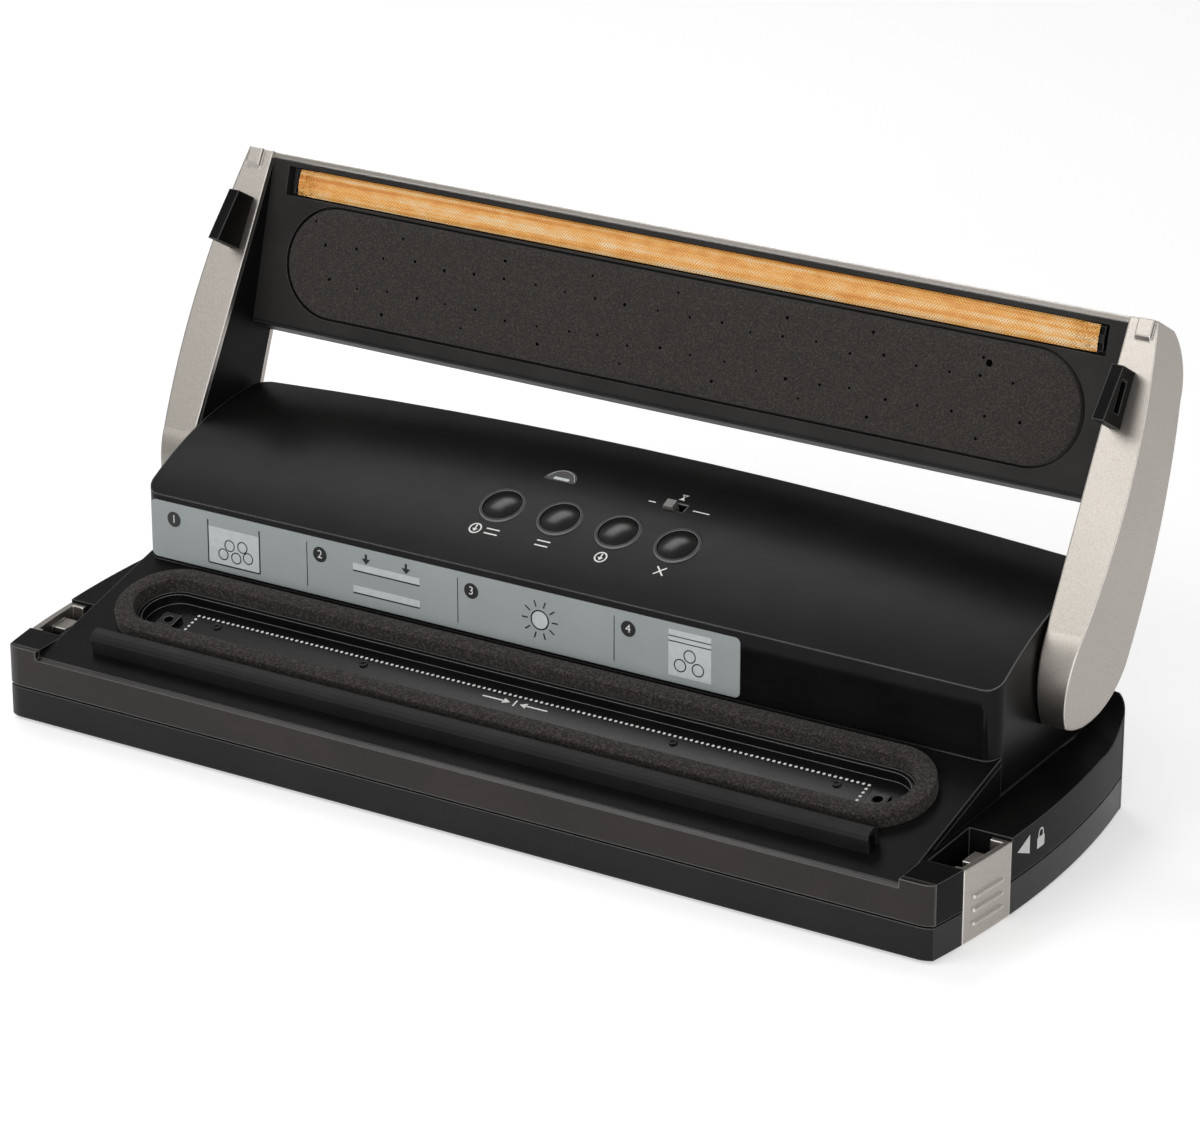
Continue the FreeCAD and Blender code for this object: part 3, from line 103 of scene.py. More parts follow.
def object_coordinates(tree, scale=(1, 1, 1)):
    """Coordinates in the object's own frame, in metres times a scale."""
    place = add_node(tree, "ShaderNodeTexCoord").outputs["Object"]
    return add_node(tree, "ShaderNodeMapping", {"Vector": place, "Scale": scale}).outputs["Vector"]


def noise(tree, place, scale, detail=3.0, rough=0.5):
    inputs = {"Vector": place, "Scale": scale, "Detail": detail, "Roughness": rough}
    return add_node(tree, "ShaderNodeTexNoise", inputs).outputs["Fac"]


def cells(tree, place, scale):
    """Distance to the nearest of many scattered points."""
    return add_node(tree, "ShaderNodeTexVoronoi", {"Vector": place, "Scale": scale}).outputs["Distance"]


def ramp(tree, value, stops):
    """A colour ramp through (position, colour) stops."""
    node = add_node(tree, "ShaderNodeValToRGB", {"Fac": value})
    band = node.color_ramp
    while len(band.elements) < len(stops):
        band.elements.new(0.5)
    for element, (position, colour) in zip(band.elements, stops):
        element.position = position
        element.color = (*colour, 1)
    return node.outputs["Color"]


def remap(tree, value, low, high, start=0.0, end=1.0):
    """A value that goes from low to high while the given one goes from start to end."""
    inputs = {"Value": value, "From Min": start, "From Max": end, "To Min": low, "To Max": high}
    return add_node(tree, "ShaderNodeMapRange", inputs).outputs["Result"]


def calculate(tree, operation, first, second=0.0):
    return add_node(tree, "ShaderNodeMath", {0: first, 1: second}, operation=operation).outputs[0]


def dot_product(tree, first, second):
    node = add_node(tree, "ShaderNodeVectorMath", {0: first, 1: second}, operation="DOT_PRODUCT")
    return node.outputs["Value"]


def mix_values(tree, share, first, second):
    """A blend of two values, with a share of the second."""
    inputs = {"Factor": share, "A": first, "B": second}
    return add_node(tree, "ShaderNodeMix", inputs, data_type="FLOAT").outputs["Result"]


def mix_colours(tree, share, first, second):
    """A blend of a colour from a node and a fixed one, with a share of the second."""
    inputs = {MIX_SHARE: share, MIX_FIRST: first, MIX_SECOND: (*second, 1)}
    return add_node(tree, "ShaderNodeMix", inputs, data_type="RGBA").outputs[MIX_RESULT]


def flat_normal(tree):
    return add_node(tree, "ShaderNodeNewGeometry").outputs["Normal"]


def softened(tree, radius):
    """Normals of the surface with its edges rounded off."""
    return add_node(tree, "ShaderNodeBevel", {"Radius": radius}, samples=EDGE_SAMPLES).outputs["Normal"]


def polished_edges(tree, colour, highlight_colour, radius):
    """A colour that turns paler along the edges: a painted highlight where the rounded edges would catch the
    light.
    """
    flatness = dot_product(tree, softened(tree, radius), flat_normal(tree))
    highlight_share = remap(tree, flatness, 0.0, 1.0, HIGHLIGHT_START, HIGHLIGHT_FULL)
    return mix_colours(tree, highlight_share, colour, highlight_colour)


def front_gloss(tree, gloss, front):
    """Roughness that takes another value on faces that look to the front."""
    ahead = dot_product(tree, flat_normal(tree), (0, -1, 0))
    return mix_values(tree, remap(tree, ahead, 0.0, 1.0, FRONT_START, FRONT_FULL), gloss, front)


def relief(tree, height, distance, strength=1.0, edge=0.0):
    """Normals of a fine relief, over edges that look softened by a radius."""
    inputs = {"Height": height, "Distance": distance, "Strength": strength}
    if edge:
        inputs["Normal"] = softened(tree, edge)
    return add_node(tree, "ShaderNodeBump", inputs).outputs["Normal"]


def waves(tree, place, direction, pitch):
    """A sine wave along a direction, from -1 to 1, with a pitch in metres."""
    turns = calculate(tree, "MULTIPLY", dot_product(tree, place, direction), 2 * math.pi / pitch)
    return calculate(tree, "SINE", turns)


def shade(colour, factor):
    return tuple(part * factor for part in colour)


# Kinds of material: scales are in cells for each metre
CLOUD_SCALE = 38
SMEAR_SCALE = 90
SMEAR_STRETCH = (1, 3, 3)
GLOSS_SPREAD = 0.14
COAT_ROUGHNESS = 0.12

FLAKE_SCALE = 2600
SPECK_SCALE = 1900
RUB_SCALE = 24
SILVER_LIGHT = (0.49, 0.455, 0.415)
SILVER_DARK = (0.36, 0.332, 0.300)
# Paler colour at the silver's edges: a painted highlight
SILVER_HIGHLIGHT = (1.0, 0.98, 0.95)
SILVER_ROUGHNESS = (0.36, 0.44)
SILVER_ROUND = 0.9 * MM
SILVER_RELIEF = 0.008 * MM

FOAM_SPECK = 0.45
FOAM_LIGHTEN = 1.8
FOAM_RELIEF = 0.25 * MM

TAPE_HALF = 173.0 * MM
TAPE_TUCK = 11.0 * MM
TAPE_THREAD = 1.3 * MM
TAPE_RELIEF = 0.09 * MM
TAPE_DARK = (0.76, 0.28, 0.045)
TAPE_MIDDLE = (0.98, 0.49, 0.120)
TAPE_LIGHT = (0.98, 0.72, 0.40)
TAPE_GAP = (0.46, 0.17, 0.035)
STREAK_SCALE = 20
STREAK_STRETCH = (0.25, 26, 26)
PATCH_SCALE = 130
PATCH_STRETCH = (1, 2, 2)
PATCH_SHARE = 0.3
PUCKER_SCALE = 430
PUCKER_DEPTH = 32.0
PUCKER_FULL = 0.6

INK_SCALE = 420


def moulded(name, colour, roughness, grain=0.02, grain_scale=2600, edge=0.5, vary=0.25, highlight_lift=0.06,
            specular=0.2, coat=0.0, metallic=0.0, front=None):
    """Moulded plastic: fine spark grain, handling marks in the gloss, softened edges and a painted highlight
    along them.

    The grain's depth and the edge's radius are in millimetres, and front is the roughness of front faces.
    """
    material, tree, shader = new_material(name)
    place = object_coordinates(tree)
    cloud = noise(tree, place, CLOUD_SCALE, 4)
    smear = noise(tree, object_coordinates(tree, SMEAR_STRETCH), SMEAR_SCALE, 5, 0.6)
    grit = noise(tree, place, grain_scale, 2)
    base = ramp(tree, cloud, [(0.3, shade(colour, 1 - vary)), (0.7, shade(colour, 1 + vary))])
    # Paler edges: a painted highlight
    if highlight_lift:
        base = polished_edges(tree, base, tuple(part + highlight_lift for part in colour), edge * MM)
    gloss = remap(tree, smear, roughness * (1 - GLOSS_SPREAD), roughness * (1 + GLOSS_SPREAD))
    if front is not None:
        gloss = front_gloss(tree, gloss, front)
    feed(tree, shader, {
        "Base Color": base, "Roughness": gloss, "Metallic": metallic, "Specular IOR Level": specular,
        "Coat Weight": coat, "Coat Roughness": COAT_ROUGHNESS,
        "Normal": relief(tree, grit, grain * MM, edge=edge * MM)})
    return material


def silver_paint():
    """Champagne silver paint: a satin film over fine metal flake, a little rubbed in places, with a painted
    highlight along its edges.
    """
    material, tree, shader = new_material("lid_silver_paint")
    place = object_coordinates(tree)
    speck = noise(tree, place, SPECK_SCALE, 2)
    flake = mix_values(tree, 0.5, cells(tree, place, FLAKE_SCALE), speck)
    film = ramp(tree, flake, [(0.25, SILVER_LIGHT), (0.75, SILVER_DARK)])
    feed(tree, shader, {
        "Base Color": polished_edges(tree, film, SILVER_HIGHLIGHT, SILVER_ROUND),
        "Roughness": remap(tree, noise(tree, place, RUB_SCALE, 3), *SILVER_ROUGHNESS),
        "Metallic": 1.0,
        "Normal": relief(tree, speck, SILVER_RELIEF, 0.6, SILVER_ROUND)})
    return material


def foam(name, colour, cell_scale, spread):
    """Open-cell foam: dark pores between lighter walls."""
    material, tree, shader = new_material(name)
    place = object_coordinates(tree)
    speck = noise(tree, place, cell_scale * FOAM_SPECK, 4, 0.7)
    pores = mix_values(tree, 0.45, cells(tree, place, cell_scale), speck)
    dark, pale = shade(colour, 1 - spread), shade(colour, 1 + FOAM_LIGHTEN * spread)
    stops = [(0.28, dark), (0.48, colour), (0.68, pale)]
    feed(tree, shader, {
        "Base Color": ramp(tree, pores, stops), "Roughness": 0.95, "Specular IOR Level": 0.15,
        "Sheen Weight": 0.12, "Normal": relief(tree, pores, FOAM_RELIEF, 0.8)})
    return material


def tape_puckers(tree, place):
    """Crinkles in the two ends of the tape."""
    x = add_node(tree, "ShaderNodeSeparateXYZ", {0: place}).outputs["X"]
    start, full = TAPE_HALF - TAPE_TUCK, TAPE_HALF - PUCKER_FULL * TAPE_TUCK
    depth = remap(tree, calculate(tree, "ABSOLUTE", x), 0.0, PUCKER_DEPTH, start, full)
    return calculate(tree, "MULTIPLY", noise(tree, place, PUCKER_SCALE, 2), depth)


def woven_tape():
    """Woven heat-proof tape: fine crossing threads, straight pale streaks along it and puckered ends."""
    material, tree, shader = new_material("woven_amber_tape")
    place = add_node(tree, "ShaderNodeTexCoord").outputs["Object"]
    along = Vector((1, 0, 0))
    across = (lid_deck.to_3x3() @ Vector((0, 1, 0))).normalized()
    weave = calculate(tree, "MULTIPLY", *(waves(tree, place, way, TAPE_THREAD) for way in (along, across)))
    streak = noise(tree, object_coordinates(tree, STREAK_STRETCH), STREAK_SCALE, 2)
    patch = noise(tree, object_coordinates(tree, PATCH_STRETCH), PATCH_SCALE, 2)
    tone = mix_values(tree, PATCH_SHARE, streak, patch)
    base = ramp(tree, tone, [(0.36, TAPE_DARK), (0.48, TAPE_MIDDLE), (0.62, TAPE_LIGHT)])
    surface = calculate(tree, "ADD", weave, tape_puckers(tree, place))
    feed(tree, shader, {
        "Base Color": mix_colours(tree, remap(tree, weave, 0.0, 0.95), base, TAPE_GAP),
        "Roughness": 0.38, "Normal": relief(tree, surface, TAPE_RELIEF)})
    return material


def printed(name, colour, roughness=0.45, specular=0.5):
    """Printing ink with a slightly uneven film."""
    material, tree, shader = new_material(name)
    film = noise(tree, object_coordinates(tree), INK_SCALE, 3)
    feed(tree, shader, {
        "Base Color": ramp(tree, film, [(0.3, shade(colour, 0.9)), (0.7, colour)]),
        "Roughness": roughness, "Specular IOR Level": specular})
    return material


# Materials of the sealer
BLACK = (0.0070, 0.0066, 0.0064)
# Black plastic with a warm tint that paints in a brownish sheen
FASCIA = (0.0165, 0.0130, 0.0116)
SHELL = (0.0085, 0.0076, 0.0074)
PANEL = (0.021, 0.0195, 0.0185)
RUBBER = (0.010, 0.010, 0.010)
RING_FOAM = (0.027, 0.0238, 0.0212)
PAD_FOAM = (0.036, 0.0325, 0.0295)

# Most of these materials paint their edges paler: a painted highlight
satin_black = moulded("satin_black", BLACK, 0.40, edge=0.8, specular=0.06, highlight_lift=0.14)
fascia_black = moulded("fascia_black", FASCIA, 0.30, grain=0.01, edge=0.8, specular=0.30, highlight_lift=0.20)
shell_black = moulded("shell_black", SHELL, 0.32, grain=0.01, edge=0.8, specular=0.21, highlight_lift=0.14)
console_black = moulded("console_black", BLACK, 0.32, grain=0.004, edge=1.2, specular=0.11, highlight_lift=0.25,
                        front=0.06)
panel_black = moulded("panel_black", PANEL, 0.52, grain=0.06, grain_scale=1500)
gloss_black = moulded("gloss_black", BLACK, 0.24, grain=0.003, edge=0.4, specular=0.32, coat=0.08)
tray_black = moulded("tray_black", BLACK, 0.22, grain=0.004, edge=0.6, specular=0.18, highlight_lift=0.22)
rubber_black = moulded("rubber_black", RUBBER, 0.5, grain=0.03, grain_scale=1400, edge=0.3)
silver = silver_paint()
base_foam = foam("base_foam", RING_FOAM, 1050, 0.6)
pad_foam = foam("pad_foam", PAD_FOAM, 1700, 0.35)
tape_cloth = woven_tape()
lens_clear = moulded("lens_clear", (0.030, 0.028, 0.027), 0.3, grain=0.02, grain_scale=420, vary=0.5)
steel = moulded("bright_steel", (0.42, 0.41, 0.40), 0.42, edge=0.2, vary=0.08, metallic=1.0)
knob_gray = moulded("knob_gray", (0.13, 0.125, 0.12), 0.3, edge=0.3, specular=0.4, highlight_lift=0.3)
burnt_wire = moulded("burnt_wire", (0.012, 0.010, 0.009), 0.5)
board_green = moulded("board_green", (0.02, 0.12, 0.05), 0.4)
iron_gray = moulded("core_gray", (0.12, 0.12, 0.13), 0.5)
white_ink = printed("white_ink", (0.82, 0.82, 0.80))
dark_ink = printed("dark_ink", (0.012, 0.012, 0.013))
label_gray = moulded("label_gray", (0.36, 0.39, 0.395), 0.40, grain=0.002, edge=0.1, vary=0.04, highlight_lift=0)
label_pale = printed("label_pale", (0.62, 0.66, 0.66))
# Flat black without gloss: the painted shade inside the pad's pin holes
painted_hole_shade = printed("painted_hole_shade", (0.002, 0.002, 0.002), roughness=1.0, specular=0.0)

BUTTONS = ["button_1", "button_2", "button_3", "button_4"]
NODE_MATERIALS = {
    satin_black: ["upper_housing", "side_cap_left", "side_cap_right", "deck_plate", "arm_liner_left",
                  "arm_liner_right", "lid_catch_left", "lid_catch_right", "power_gland", "tact_switches",
                  "time_switch_body", "lid_switch_left", "lid_switch_right", "pump_head", "heater_carrier"],
    fascia_black: ["front_fascia"],
    shell_black: ["lower_shell"],
    console_black: ["console_housing"],
    panel_black: ["lid_inner_panel"],
    gloss_black: BUTTONS,
    tray_black: ["chamber_tray", "chamber_port_left", "chamber_port_right"],
    rubber_black: ["seal_strip", "rubber_feet", "vacuum_hose"],
    silver: ["lid_cover", "lid_arm_left", "lid_arm_right", "latch_left", "latch_right"],
    tape_cloth: ["ptfe_tape"],
    lens_clear: ["indicator_lens", "status_led"],
    knob_gray: ["time_switch_knob"],
    steel: ["hinge_pin_left", "hinge_pin_right", "latch_pin_left", "latch_pin_right", "housing_screws",
            "pump_motor", "pump_crank"],
    burnt_wire: ["heating_wire"],
    board_green: ["control_board"],
    iron_gray: ["transformer"]}
for material, names in NODE_MATERIALS.items():
    for name in names:
        nodes[name].data.materials.clear()
        nodes[name].data.materials.append(material)

# Helpers for meshes
LAY_REACH = 30 * MM
INK = 0.06 * MM
SHARP_ANGLE = math.radians(35)
STADIUM_STEPS = 32


def add_object(name, data):
    item = bpy.data.objects.new(name, data)
    bpy.context.scene.collection.objects.link(item)
    return item


def lay_on(mesh_data, node, direction):
    """Moves each point along a direction onto a part's surface, and back off it by a film of ink."""
    target = nodes[node].data
    surface = BVHTree.FromPolygons([point.co for point in target.vertices],
                                   [tuple(face.vertices) for face in target.polygons])
    way = Vector(direction).normalized()
    for point in mesh_data.verts:
        hit = surface.ray_cast(point.co - way * LAY_REACH, way)[0]
        point.co = hit - way * INK


def add_piece(name, mesh_data, material, body, matrix, smooth=True, onto=None):
    """A piece placed by a matrix, laid on a part along a direction if asked, and riding on a body."""
    mesh_data.transform(matrix)
    if onto is not None:
        lay_on(mesh_data, *onto)
    bmesh.ops.recalc_face_normals(mesh_data, faces=mesh_data.faces)
    mesh = bpy.data.meshes.new(name)
    mesh_data.to_mesh(mesh)
    mesh_data.free()
    piece = add_object(name, mesh)
    mesh.materials.append(material)
    for face in mesh.polygons:
        face.use_smooth = smooth
    mesh.set_sharp_from_angle(angle=SHARP_ANGLE)
    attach(piece, body)
    return piece


def add_loop(mesh_data, points, height):
    return [mesh_data.verts.new((x, y, height)) for x, y in points]


def join_loops(mesh_data, loops, closed=False):
    """Faces between loops of vertices with the same count."""
    pairs = list(zip(loops, loops[1:]))
    if closed:
        pairs.append((loops[-1], loops[0]))
    for first, second in pairs:
        count = len(first)
        for i in range(count):
            j = (i + 1) % count
            mesh_data.faces.new((first[i], first[j], second[j], second[i]))


def close_ends(mesh_data, loops):
    for loop in (loops[0], loops[-1]):
        mesh_data.faces.new(loop)


def stadium_points(straight, radius):
    """Points of a stadium about the origin, going round anticlockwise."""
    points = []
    for side in (1, -1):
        for i in range(STADIUM_STEPS + 1):
            turn = -math.pi / 2 + math.pi * i / STADIUM_STEPS
            points.append((side * (straight + radius * math.cos(turn)), side * radius * math.sin(turn)))
    return points


def rounded_edge(radius):
    """A small rounded edge as (inset from the side, drop from the face) points, from the side inwards."""
    return [(0, radius), (0.3 * radius, 0.3 * radius), (radius, 0)]


def disc_points(radius, steps):
    turns = [2 * math.pi * i / steps for i in range(steps)]
    return [(radius * math.cos(turn), radius * math.sin(turn)) for turn in turns]


def rounded_rectangle(x0, y0, x1, y1, radius, steps=6):
    points = []
    for cx, cy, start in ((x1 - radius, y1 - radius, 0), (x0 + radius, y1 - radius, 1),
                          (x0 + radius, y0 + radius, 2), (x1 - radius, y0 + radius, 3)):
        for i in range(steps + 1):
            turn = (start + i / steps) * math.pi / 2
            points.append((cx + radius * math.cos(turn), cy + radius * math.sin(turn)))
    return points


# Foam ring round the chamber
RING_STRAIGHT = 152.7 * MM
RING_OUTER = 20.9 * MM
RING_BAND = 7.2 * MM
RING_HEIGHT = 5.4 * MM
RING_SETBACK = 45.0 * MM
RING_ROUND = 0.5 * MM
RING_CROWN = 0.05 * MM


def foam_ring():
    """A ring of foam with cut edges that are only slightly rounded."""
    data = bmesh.new()
    inner = RING_OUTER - RING_BAND
    edge = rounded_edge(RING_ROUND)
    section = [(RING_OUTER, 0)]
    section += [(RING_OUTER - inset, RING_HEIGHT - drop) for inset, drop in edge]
    section.append(((RING_OUTER + inner) / 2, RING_HEIGHT + RING_CROWN))
    section += [(inner + inset, RING_HEIGHT - drop) for inset, drop in reversed(edge)]
    section.append((inner, 0))
    loops = [add_loop(data, stadium_points(RING_STRAIGHT, radius), height) for radius, height in section]
    join_loops(data, loops, closed=True)
    place = deck @ Matrix.Translation((0, RING_SETBACK, 0))
    return add_piece("foam_ring", data, base_foam, "base", place)


ring = foam_ring()
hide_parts("base_foam_ring")

# Foam pad in the lid
PAD_STRAIGHT = 150.7 * MM
PAD_RADIUS = 21.2 * MM
PAD_SETBACK = 44.6 * MM
PANEL_LIFT = 6.5 * MM
PAD_PROUD = 0.7 * MM
PAD_THICKNESS = 3.9 * MM
PAD_ROUND = 0.8 * MM
PAD_CROWN = 0.2 * MM
# How far from the rim to the middle the loops of the crowned face lie
PAD_STEPS = (0.15, 0.35, 0.6, 0.85)


def foam_pad():
    """A flat pad with a crowned face and rounded rim, facing down with the lid closed."""
    data = bmesh.new()
    section = [(0, PAD_THICKNESS)] + rounded_edge(PAD_ROUND)
    for step in PAD_STEPS:
        inset = PAD_ROUND + (PAD_RADIUS - PAD_ROUND) * step
        section.append((inset, -PAD_CROWN * math.sin(step * math.pi / 2)))
    loops = []
    for inset, height in section:
        loops.append(add_loop(data, stadium_points(PAD_STRAIGHT, PAD_RADIUS - inset), height))
    join_loops(data, loops)
    close_ends(data, loops)
    place = lid_deck @ Matrix.Translation((0, PAD_SETBACK, PANEL_LIFT - PAD_PROUD))
    return add_piece("foam_pad", data, pad_foam, "lid", place)


pad = foam_pad()
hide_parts("lid_foam_pad")

# Heat-proof tape: stretched over the heater, creased and drawn in at its ends
TAPE_WIDTH = 10.4 * MM
TAPE_SETBACK = 15.9 * MM
TAPE_CREST = 8.05 * MM
TAPE_DROP = 0.8 * MM
TAPE_CURVE = 2.6
TAPE_PINCH = 0.05
TAPE_COLUMNS = 320
TAPE_ROWS = 16
RIPPLE_HEIGHT = 0.03 * MM
RIPPLE_LENGTH = 7.3 * MM
RIPPLE_DRIFT = 31 * MM
CREASE_HEIGHT = 0.20 * MM
CREASE_LENGTHS = (0.55 * MM, 0.90 * MM)


def tape_end(x):
    """How far a place is into the tucked end of the tape, from 0 to 1."""
    return max(0.0, 1 - (TAPE_HALF - abs(x)) / TAPE_TUCK)


def tape_height(x, v):
    """Height of the tape over the deck, with v from -1 to 1 across it: crowned, rippled and creased."""
    drift = 2.2 * math.sin(x / RIPPLE_DRIFT)
    ripple = RIPPLE_HEIGHT * (1 + math.sin(x / RIPPLE_LENGTH + drift) * math.cos(2.4 * v))
    first, second = (x / length for length in CREASE_LENGTHS)
    crease = CREASE_HEIGHT * tape_end(x) * (1 + math.sin(first + 5 * v) * math.cos(second - 7 * v))
    return TAPE_CREST + TAPE_DROP * abs(v) ** TAPE_CURVE + ripple - crease


def tape_sheet():
    data = bmesh.new()
    columns = []
    for i in range(TAPE_COLUMNS + 1):
        x = TAPE_HALF * (2 * i / TAPE_COLUMNS - 1)
        half_width = (1 - TAPE_PINCH * tape_end(x) ** 2) * TAPE_WIDTH / 2
        column = []
        for j in range(TAPE_ROWS + 1):
            v = 2 * j / TAPE_ROWS - 1
            column.append(data.verts.new((x, TAPE_SETBACK + v * half_width, tape_height(x, v))))
        columns.append(column)
    for first, second in zip(columns, columns[1:]):
        for j in range(TAPE_ROWS):
            data.faces.new((first[j], second[j], second[j + 1], first[j + 1]))
    return add_piece("tape_sheet", data, tape_cloth, "lid", lid_deck)


tape = tape_sheet()
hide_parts("ptfe_tape")

# Rolled black lip along the bar's rear edge, drawn with the lid closed
LIP_SKIN = 0.5 * MM
LIP_HEIGHT = 13.0 * MM
LIP_ROUND = 1.6 * MM
LIP_STEPS = 8


def rear_lip():
    """A thin skin over the rear wall of the bar that turns under the panel's edge in an arc."""
    data = bmesh.new()
    corners = [lid_turn.inverted() @ point.co for point in nodes["lid_inner_panel"].data.vertices]
    half = max(corner.x for corner in corners)
    rear = max(corner.y for corner in corners)
    under = min(corner.z for corner in corners if corner.y > rear - LIP_ROUND)
    outline = [(rear + LIP_SKIN, under + LIP_HEIGHT), (rear + LIP_SKIN, under + LIP_ROUND)]
    for i in range(1, LIP_STEPS + 1):
        turn = math.pi / 2 * i / LIP_STEPS
        outline.append((rear + LIP_SKIN - LIP_ROUND * (1 - math.cos(turn)),
                        under + LIP_ROUND - (LIP_ROUND + LIP_SKIN) * math.sin(turn)))
    outline += [(rear - LIP_ROUND, under), (rear, under), (rear, under + LIP_HEIGHT)]
    ends = [[data.verts.new((x, y, z)) for y, z in outline] for x in (-half, half)]
    join_loops(data, ends)
    close_ends(data, ends)
    return add_piece("rear_lip", data, rubber_black, "lid", lid_turn, smooth=False)


rear_lip()

# Strokes and shapes of printed marks: each is flat and lies just off the surface that carries it


def add_polygon(data, points):
    data.faces.new([data.verts.new((x, y, 0)) for x, y in points])


def add_rectangle(data, x0, y0, x1, y1):
    add_polygon(data, [(x0, y0), (x1, y0), (x1, y1), (x0, y1)])


def add_disc(data, x, y, radius, steps):
    add_polygon(data, [(x + dx, y + dy) for dx, dy in disc_points(radius, steps)])


def add_bar(data, x0, y0, x1, y1, width):
    """A straight stroke with a width."""
    along = Vector((x1 - x0, y1 - y0)).normalized() * (width / 2)
    side = Vector((-along.y, along.x))
    add_polygon(data, [(x0 + side.x, y0 + side.y), (x0 - side.x, y0 - side.y),
                       (x1 - side.x, y1 - side.y), (x1 + side.x, y1 + side.y)])


def add_arc(data, x, y, radius, width, sweep, steps):
    """A round stroke that starts at the right and goes anticlockwise."""
    inner = radius - width
    for i in range(steps):
        start, end = (sweep * (i + k) / steps for k in (0, 1))
        corners = ((radius, start), (radius, end), (inner, end), (inner, start))
        add_polygon(data, [(x + r * math.cos(turn), y + r * math.sin(turn)) for r, turn in corners])


def add_ring(data, x, y, radius, width):
    add_arc(data, x, y, radius, width, 2 * math.pi, 28)


def add_arch(data, x, y, radius, width):
    add_arc(data, x, y, radius, width, math.pi, 14)


# Pin pricks and one larger hole in the pad, in millimetres, drawn as painted shade
PRICK_RADIUS = 0.62
PRICK_REACH = 158.0
PRICK_LIFT = 0.05
# Each row: its place across the pad, the pitch along it and how far it strays
PRICK_ROWS = ((-15.0, 41.0, 4.0), (-7.0, 13.6, 1.0), (7.0, 13.6, 1.0), (15.0, 37.0, 5.0))
BIG_HOLE = (133.4, -12.7)
BIG_HOLE_RADIUS = 1.3


def pad_pricks():
    """Small pricks in rows, a little off their grid, drawn as flat discs of painted shade."""
    data = bmesh.new()
    draw = random.Random(4)
    for row, (y, pitch, stray) in enumerate(PRICK_ROWS):
        x = -PRICK_REACH + row * pitch / len(PRICK_ROWS)
        while x < PRICK_REACH:
            size = PRICK_RADIUS * draw.uniform(0.7, 1.1)
            add_disc(data, x + draw.uniform(-stray, stray), y + draw.uniform(-1, 1), size, 8)
            x += pitch
    add_disc(data, *BIG_HOLE, BIG_HOLE_RADIUS, 16)
    face = PANEL_LIFT - PAD_PROUD - PAD_CROWN - PRICK_LIFT * MM
    place = lid_deck @ Matrix.Translation((0, PAD_SETBACK, face)) @ MILLIMETRES
    return add_piece("pad_pricks", data, painted_hole_shade, "lid", place, smooth=False)


pad_pricks()

# Dotted bag boundary in the chamber
DOT_RADIUS = 0.62 * MM
DOT_PITCH = 2.25 * MM
DOT_HALF = 145.0 * MM
DOT_BACK = 51.2 * MM
DOT_FRONT = 39.3 * MM
DOT_STEPS = 10
TRAY_DEPTH = 4.2 * MM
tray_floor = deck @ Matrix.Translation((0, 0, -TRAY_DEPTH))
tray_print = deck @ Matrix.Translation((0, 0, INK - TRAY_DEPTH))


def dotted_boundary():
    """A row of dots along the back of the chamber that turns forwards at both ends."""
    data = bmesh.new()
    count = int(2 * DOT_HALF / DOT_PITCH)
    for i in range(count + 1):
        add_disc(data, -DOT_HALF + 2 * DOT_HALF * i / count, DOT_BACK, DOT_RADIUS, DOT_STEPS)
    rows = int((DOT_BACK - DOT_FRONT) / DOT_PITCH)
    for i in range(1, rows + 1):
        for side in (-1, 1):
            add_disc(data, side * DOT_HALF, DOT_BACK - i * DOT_PITCH, DOT_RADIUS, DOT_STEPS)
    return add_piece("dotted_boundary", data, white_ink, "base", tray_print, smooth=False)


dotted_boundary()

# Instruction plate on the console's front
PLATE_LEFT = -180.8 * MM
PLATE_RIGHT = 80.9 * MM
PLATE_LOW = 46.2 * MM
PLATE_HIGH = 69.6 * MM
PLATE_ROUND = 2.2 * MM
PLATE_THICK = 0.25 * MM
console_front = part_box("console_housing")[0].y
plate_frame = Matrix.Translation((0, console_front, 0)) @ Matrix.Rotation(math.pi / 2, 4, "X")


def label_plate():
    data = bmesh.new()
    outline = rounded_rectangle(PLATE_LEFT, PLATE_LOW, PLATE_RIGHT, PLATE_HIGH, PLATE_ROUND)
    loops = [add_loop(data, outline, height) for height in (0.0, PLATE_THICK)]
    join_loops(data, loops)
    close_ends(data, loops)
    return add_piece("label_plate", data, label_gray, "base", plate_frame, smooth=False)


label_plate()

# Marks on the plate, in millimetres from the middle of the base and the floor
FIELD_LEFT = (-172.0, -104.0, -36.0, 32.0)
FIELD_RULE = 4.0
RULE_WIDTH = 0.3
PICTURE_LOW = 49.0
PICTURE_HIGH = 67.0
PICTURE_MIDDLE = 58.0
STROKE = 0.55
FINE_STROKE = 0.45
ROUND_STEPS = 28
NUMBER_INSET = 2.0
NUMBER_HEIGHT = 63.0
NUMBER_RADIUS = 3.1
NUMBER_SIZE = 4.6

BAG_INSET, BAG_HALF, BAG_HIGH, BAG_RIM = 30.0, 12.0, 64.0, 66.5
BAG_FILLING = ((-5.0, 53.5), (1.0, 53.0), (6.5, 54.0), (-2.0, 57.5), (4.0, 58.0))
BAG_PIECE = 2.4

BARS_INSET, BARS_HALF, BAR_THICK = 32.0, 15.0, 3.0
BARS_LOW = (51.0, 60.0)
ARROWS_AT = (-9.0, 9.0)
ARROW_TAIL, ARROW_NECK, ARROW_BASE, ARROW_TIP = 67.5, 65.5, 65.6, 63.4
ARROW_STROKE, ARROW_SIDE = 1.0, 2.0

LAMP_INSET, LAMP_DISC, LAMP_RING = 32.0, 3.6, 4.0
RAY_COUNT, RAY_START, RAY_END = 10, 5.2, 7.8

SEALED_INSET, SEALED_HALF = 28.0, 9.0
SEAM_HEIGHTS, SEAM_WIDTH = (62.5, 64.5), 0.4
SEALED_FILLING = ((-4.0, 53.5), (3.5, 53.2), (0.0, 57.8))
SEALED_PIECE = 2.6


def plate_film(level):
    """The plate's face in millimetres, lifted by a number of films of ink."""
    return plate_frame @ Matrix.Translation((0, 0, PLATE_THICK + level * INK)) @ MILLIMETRES


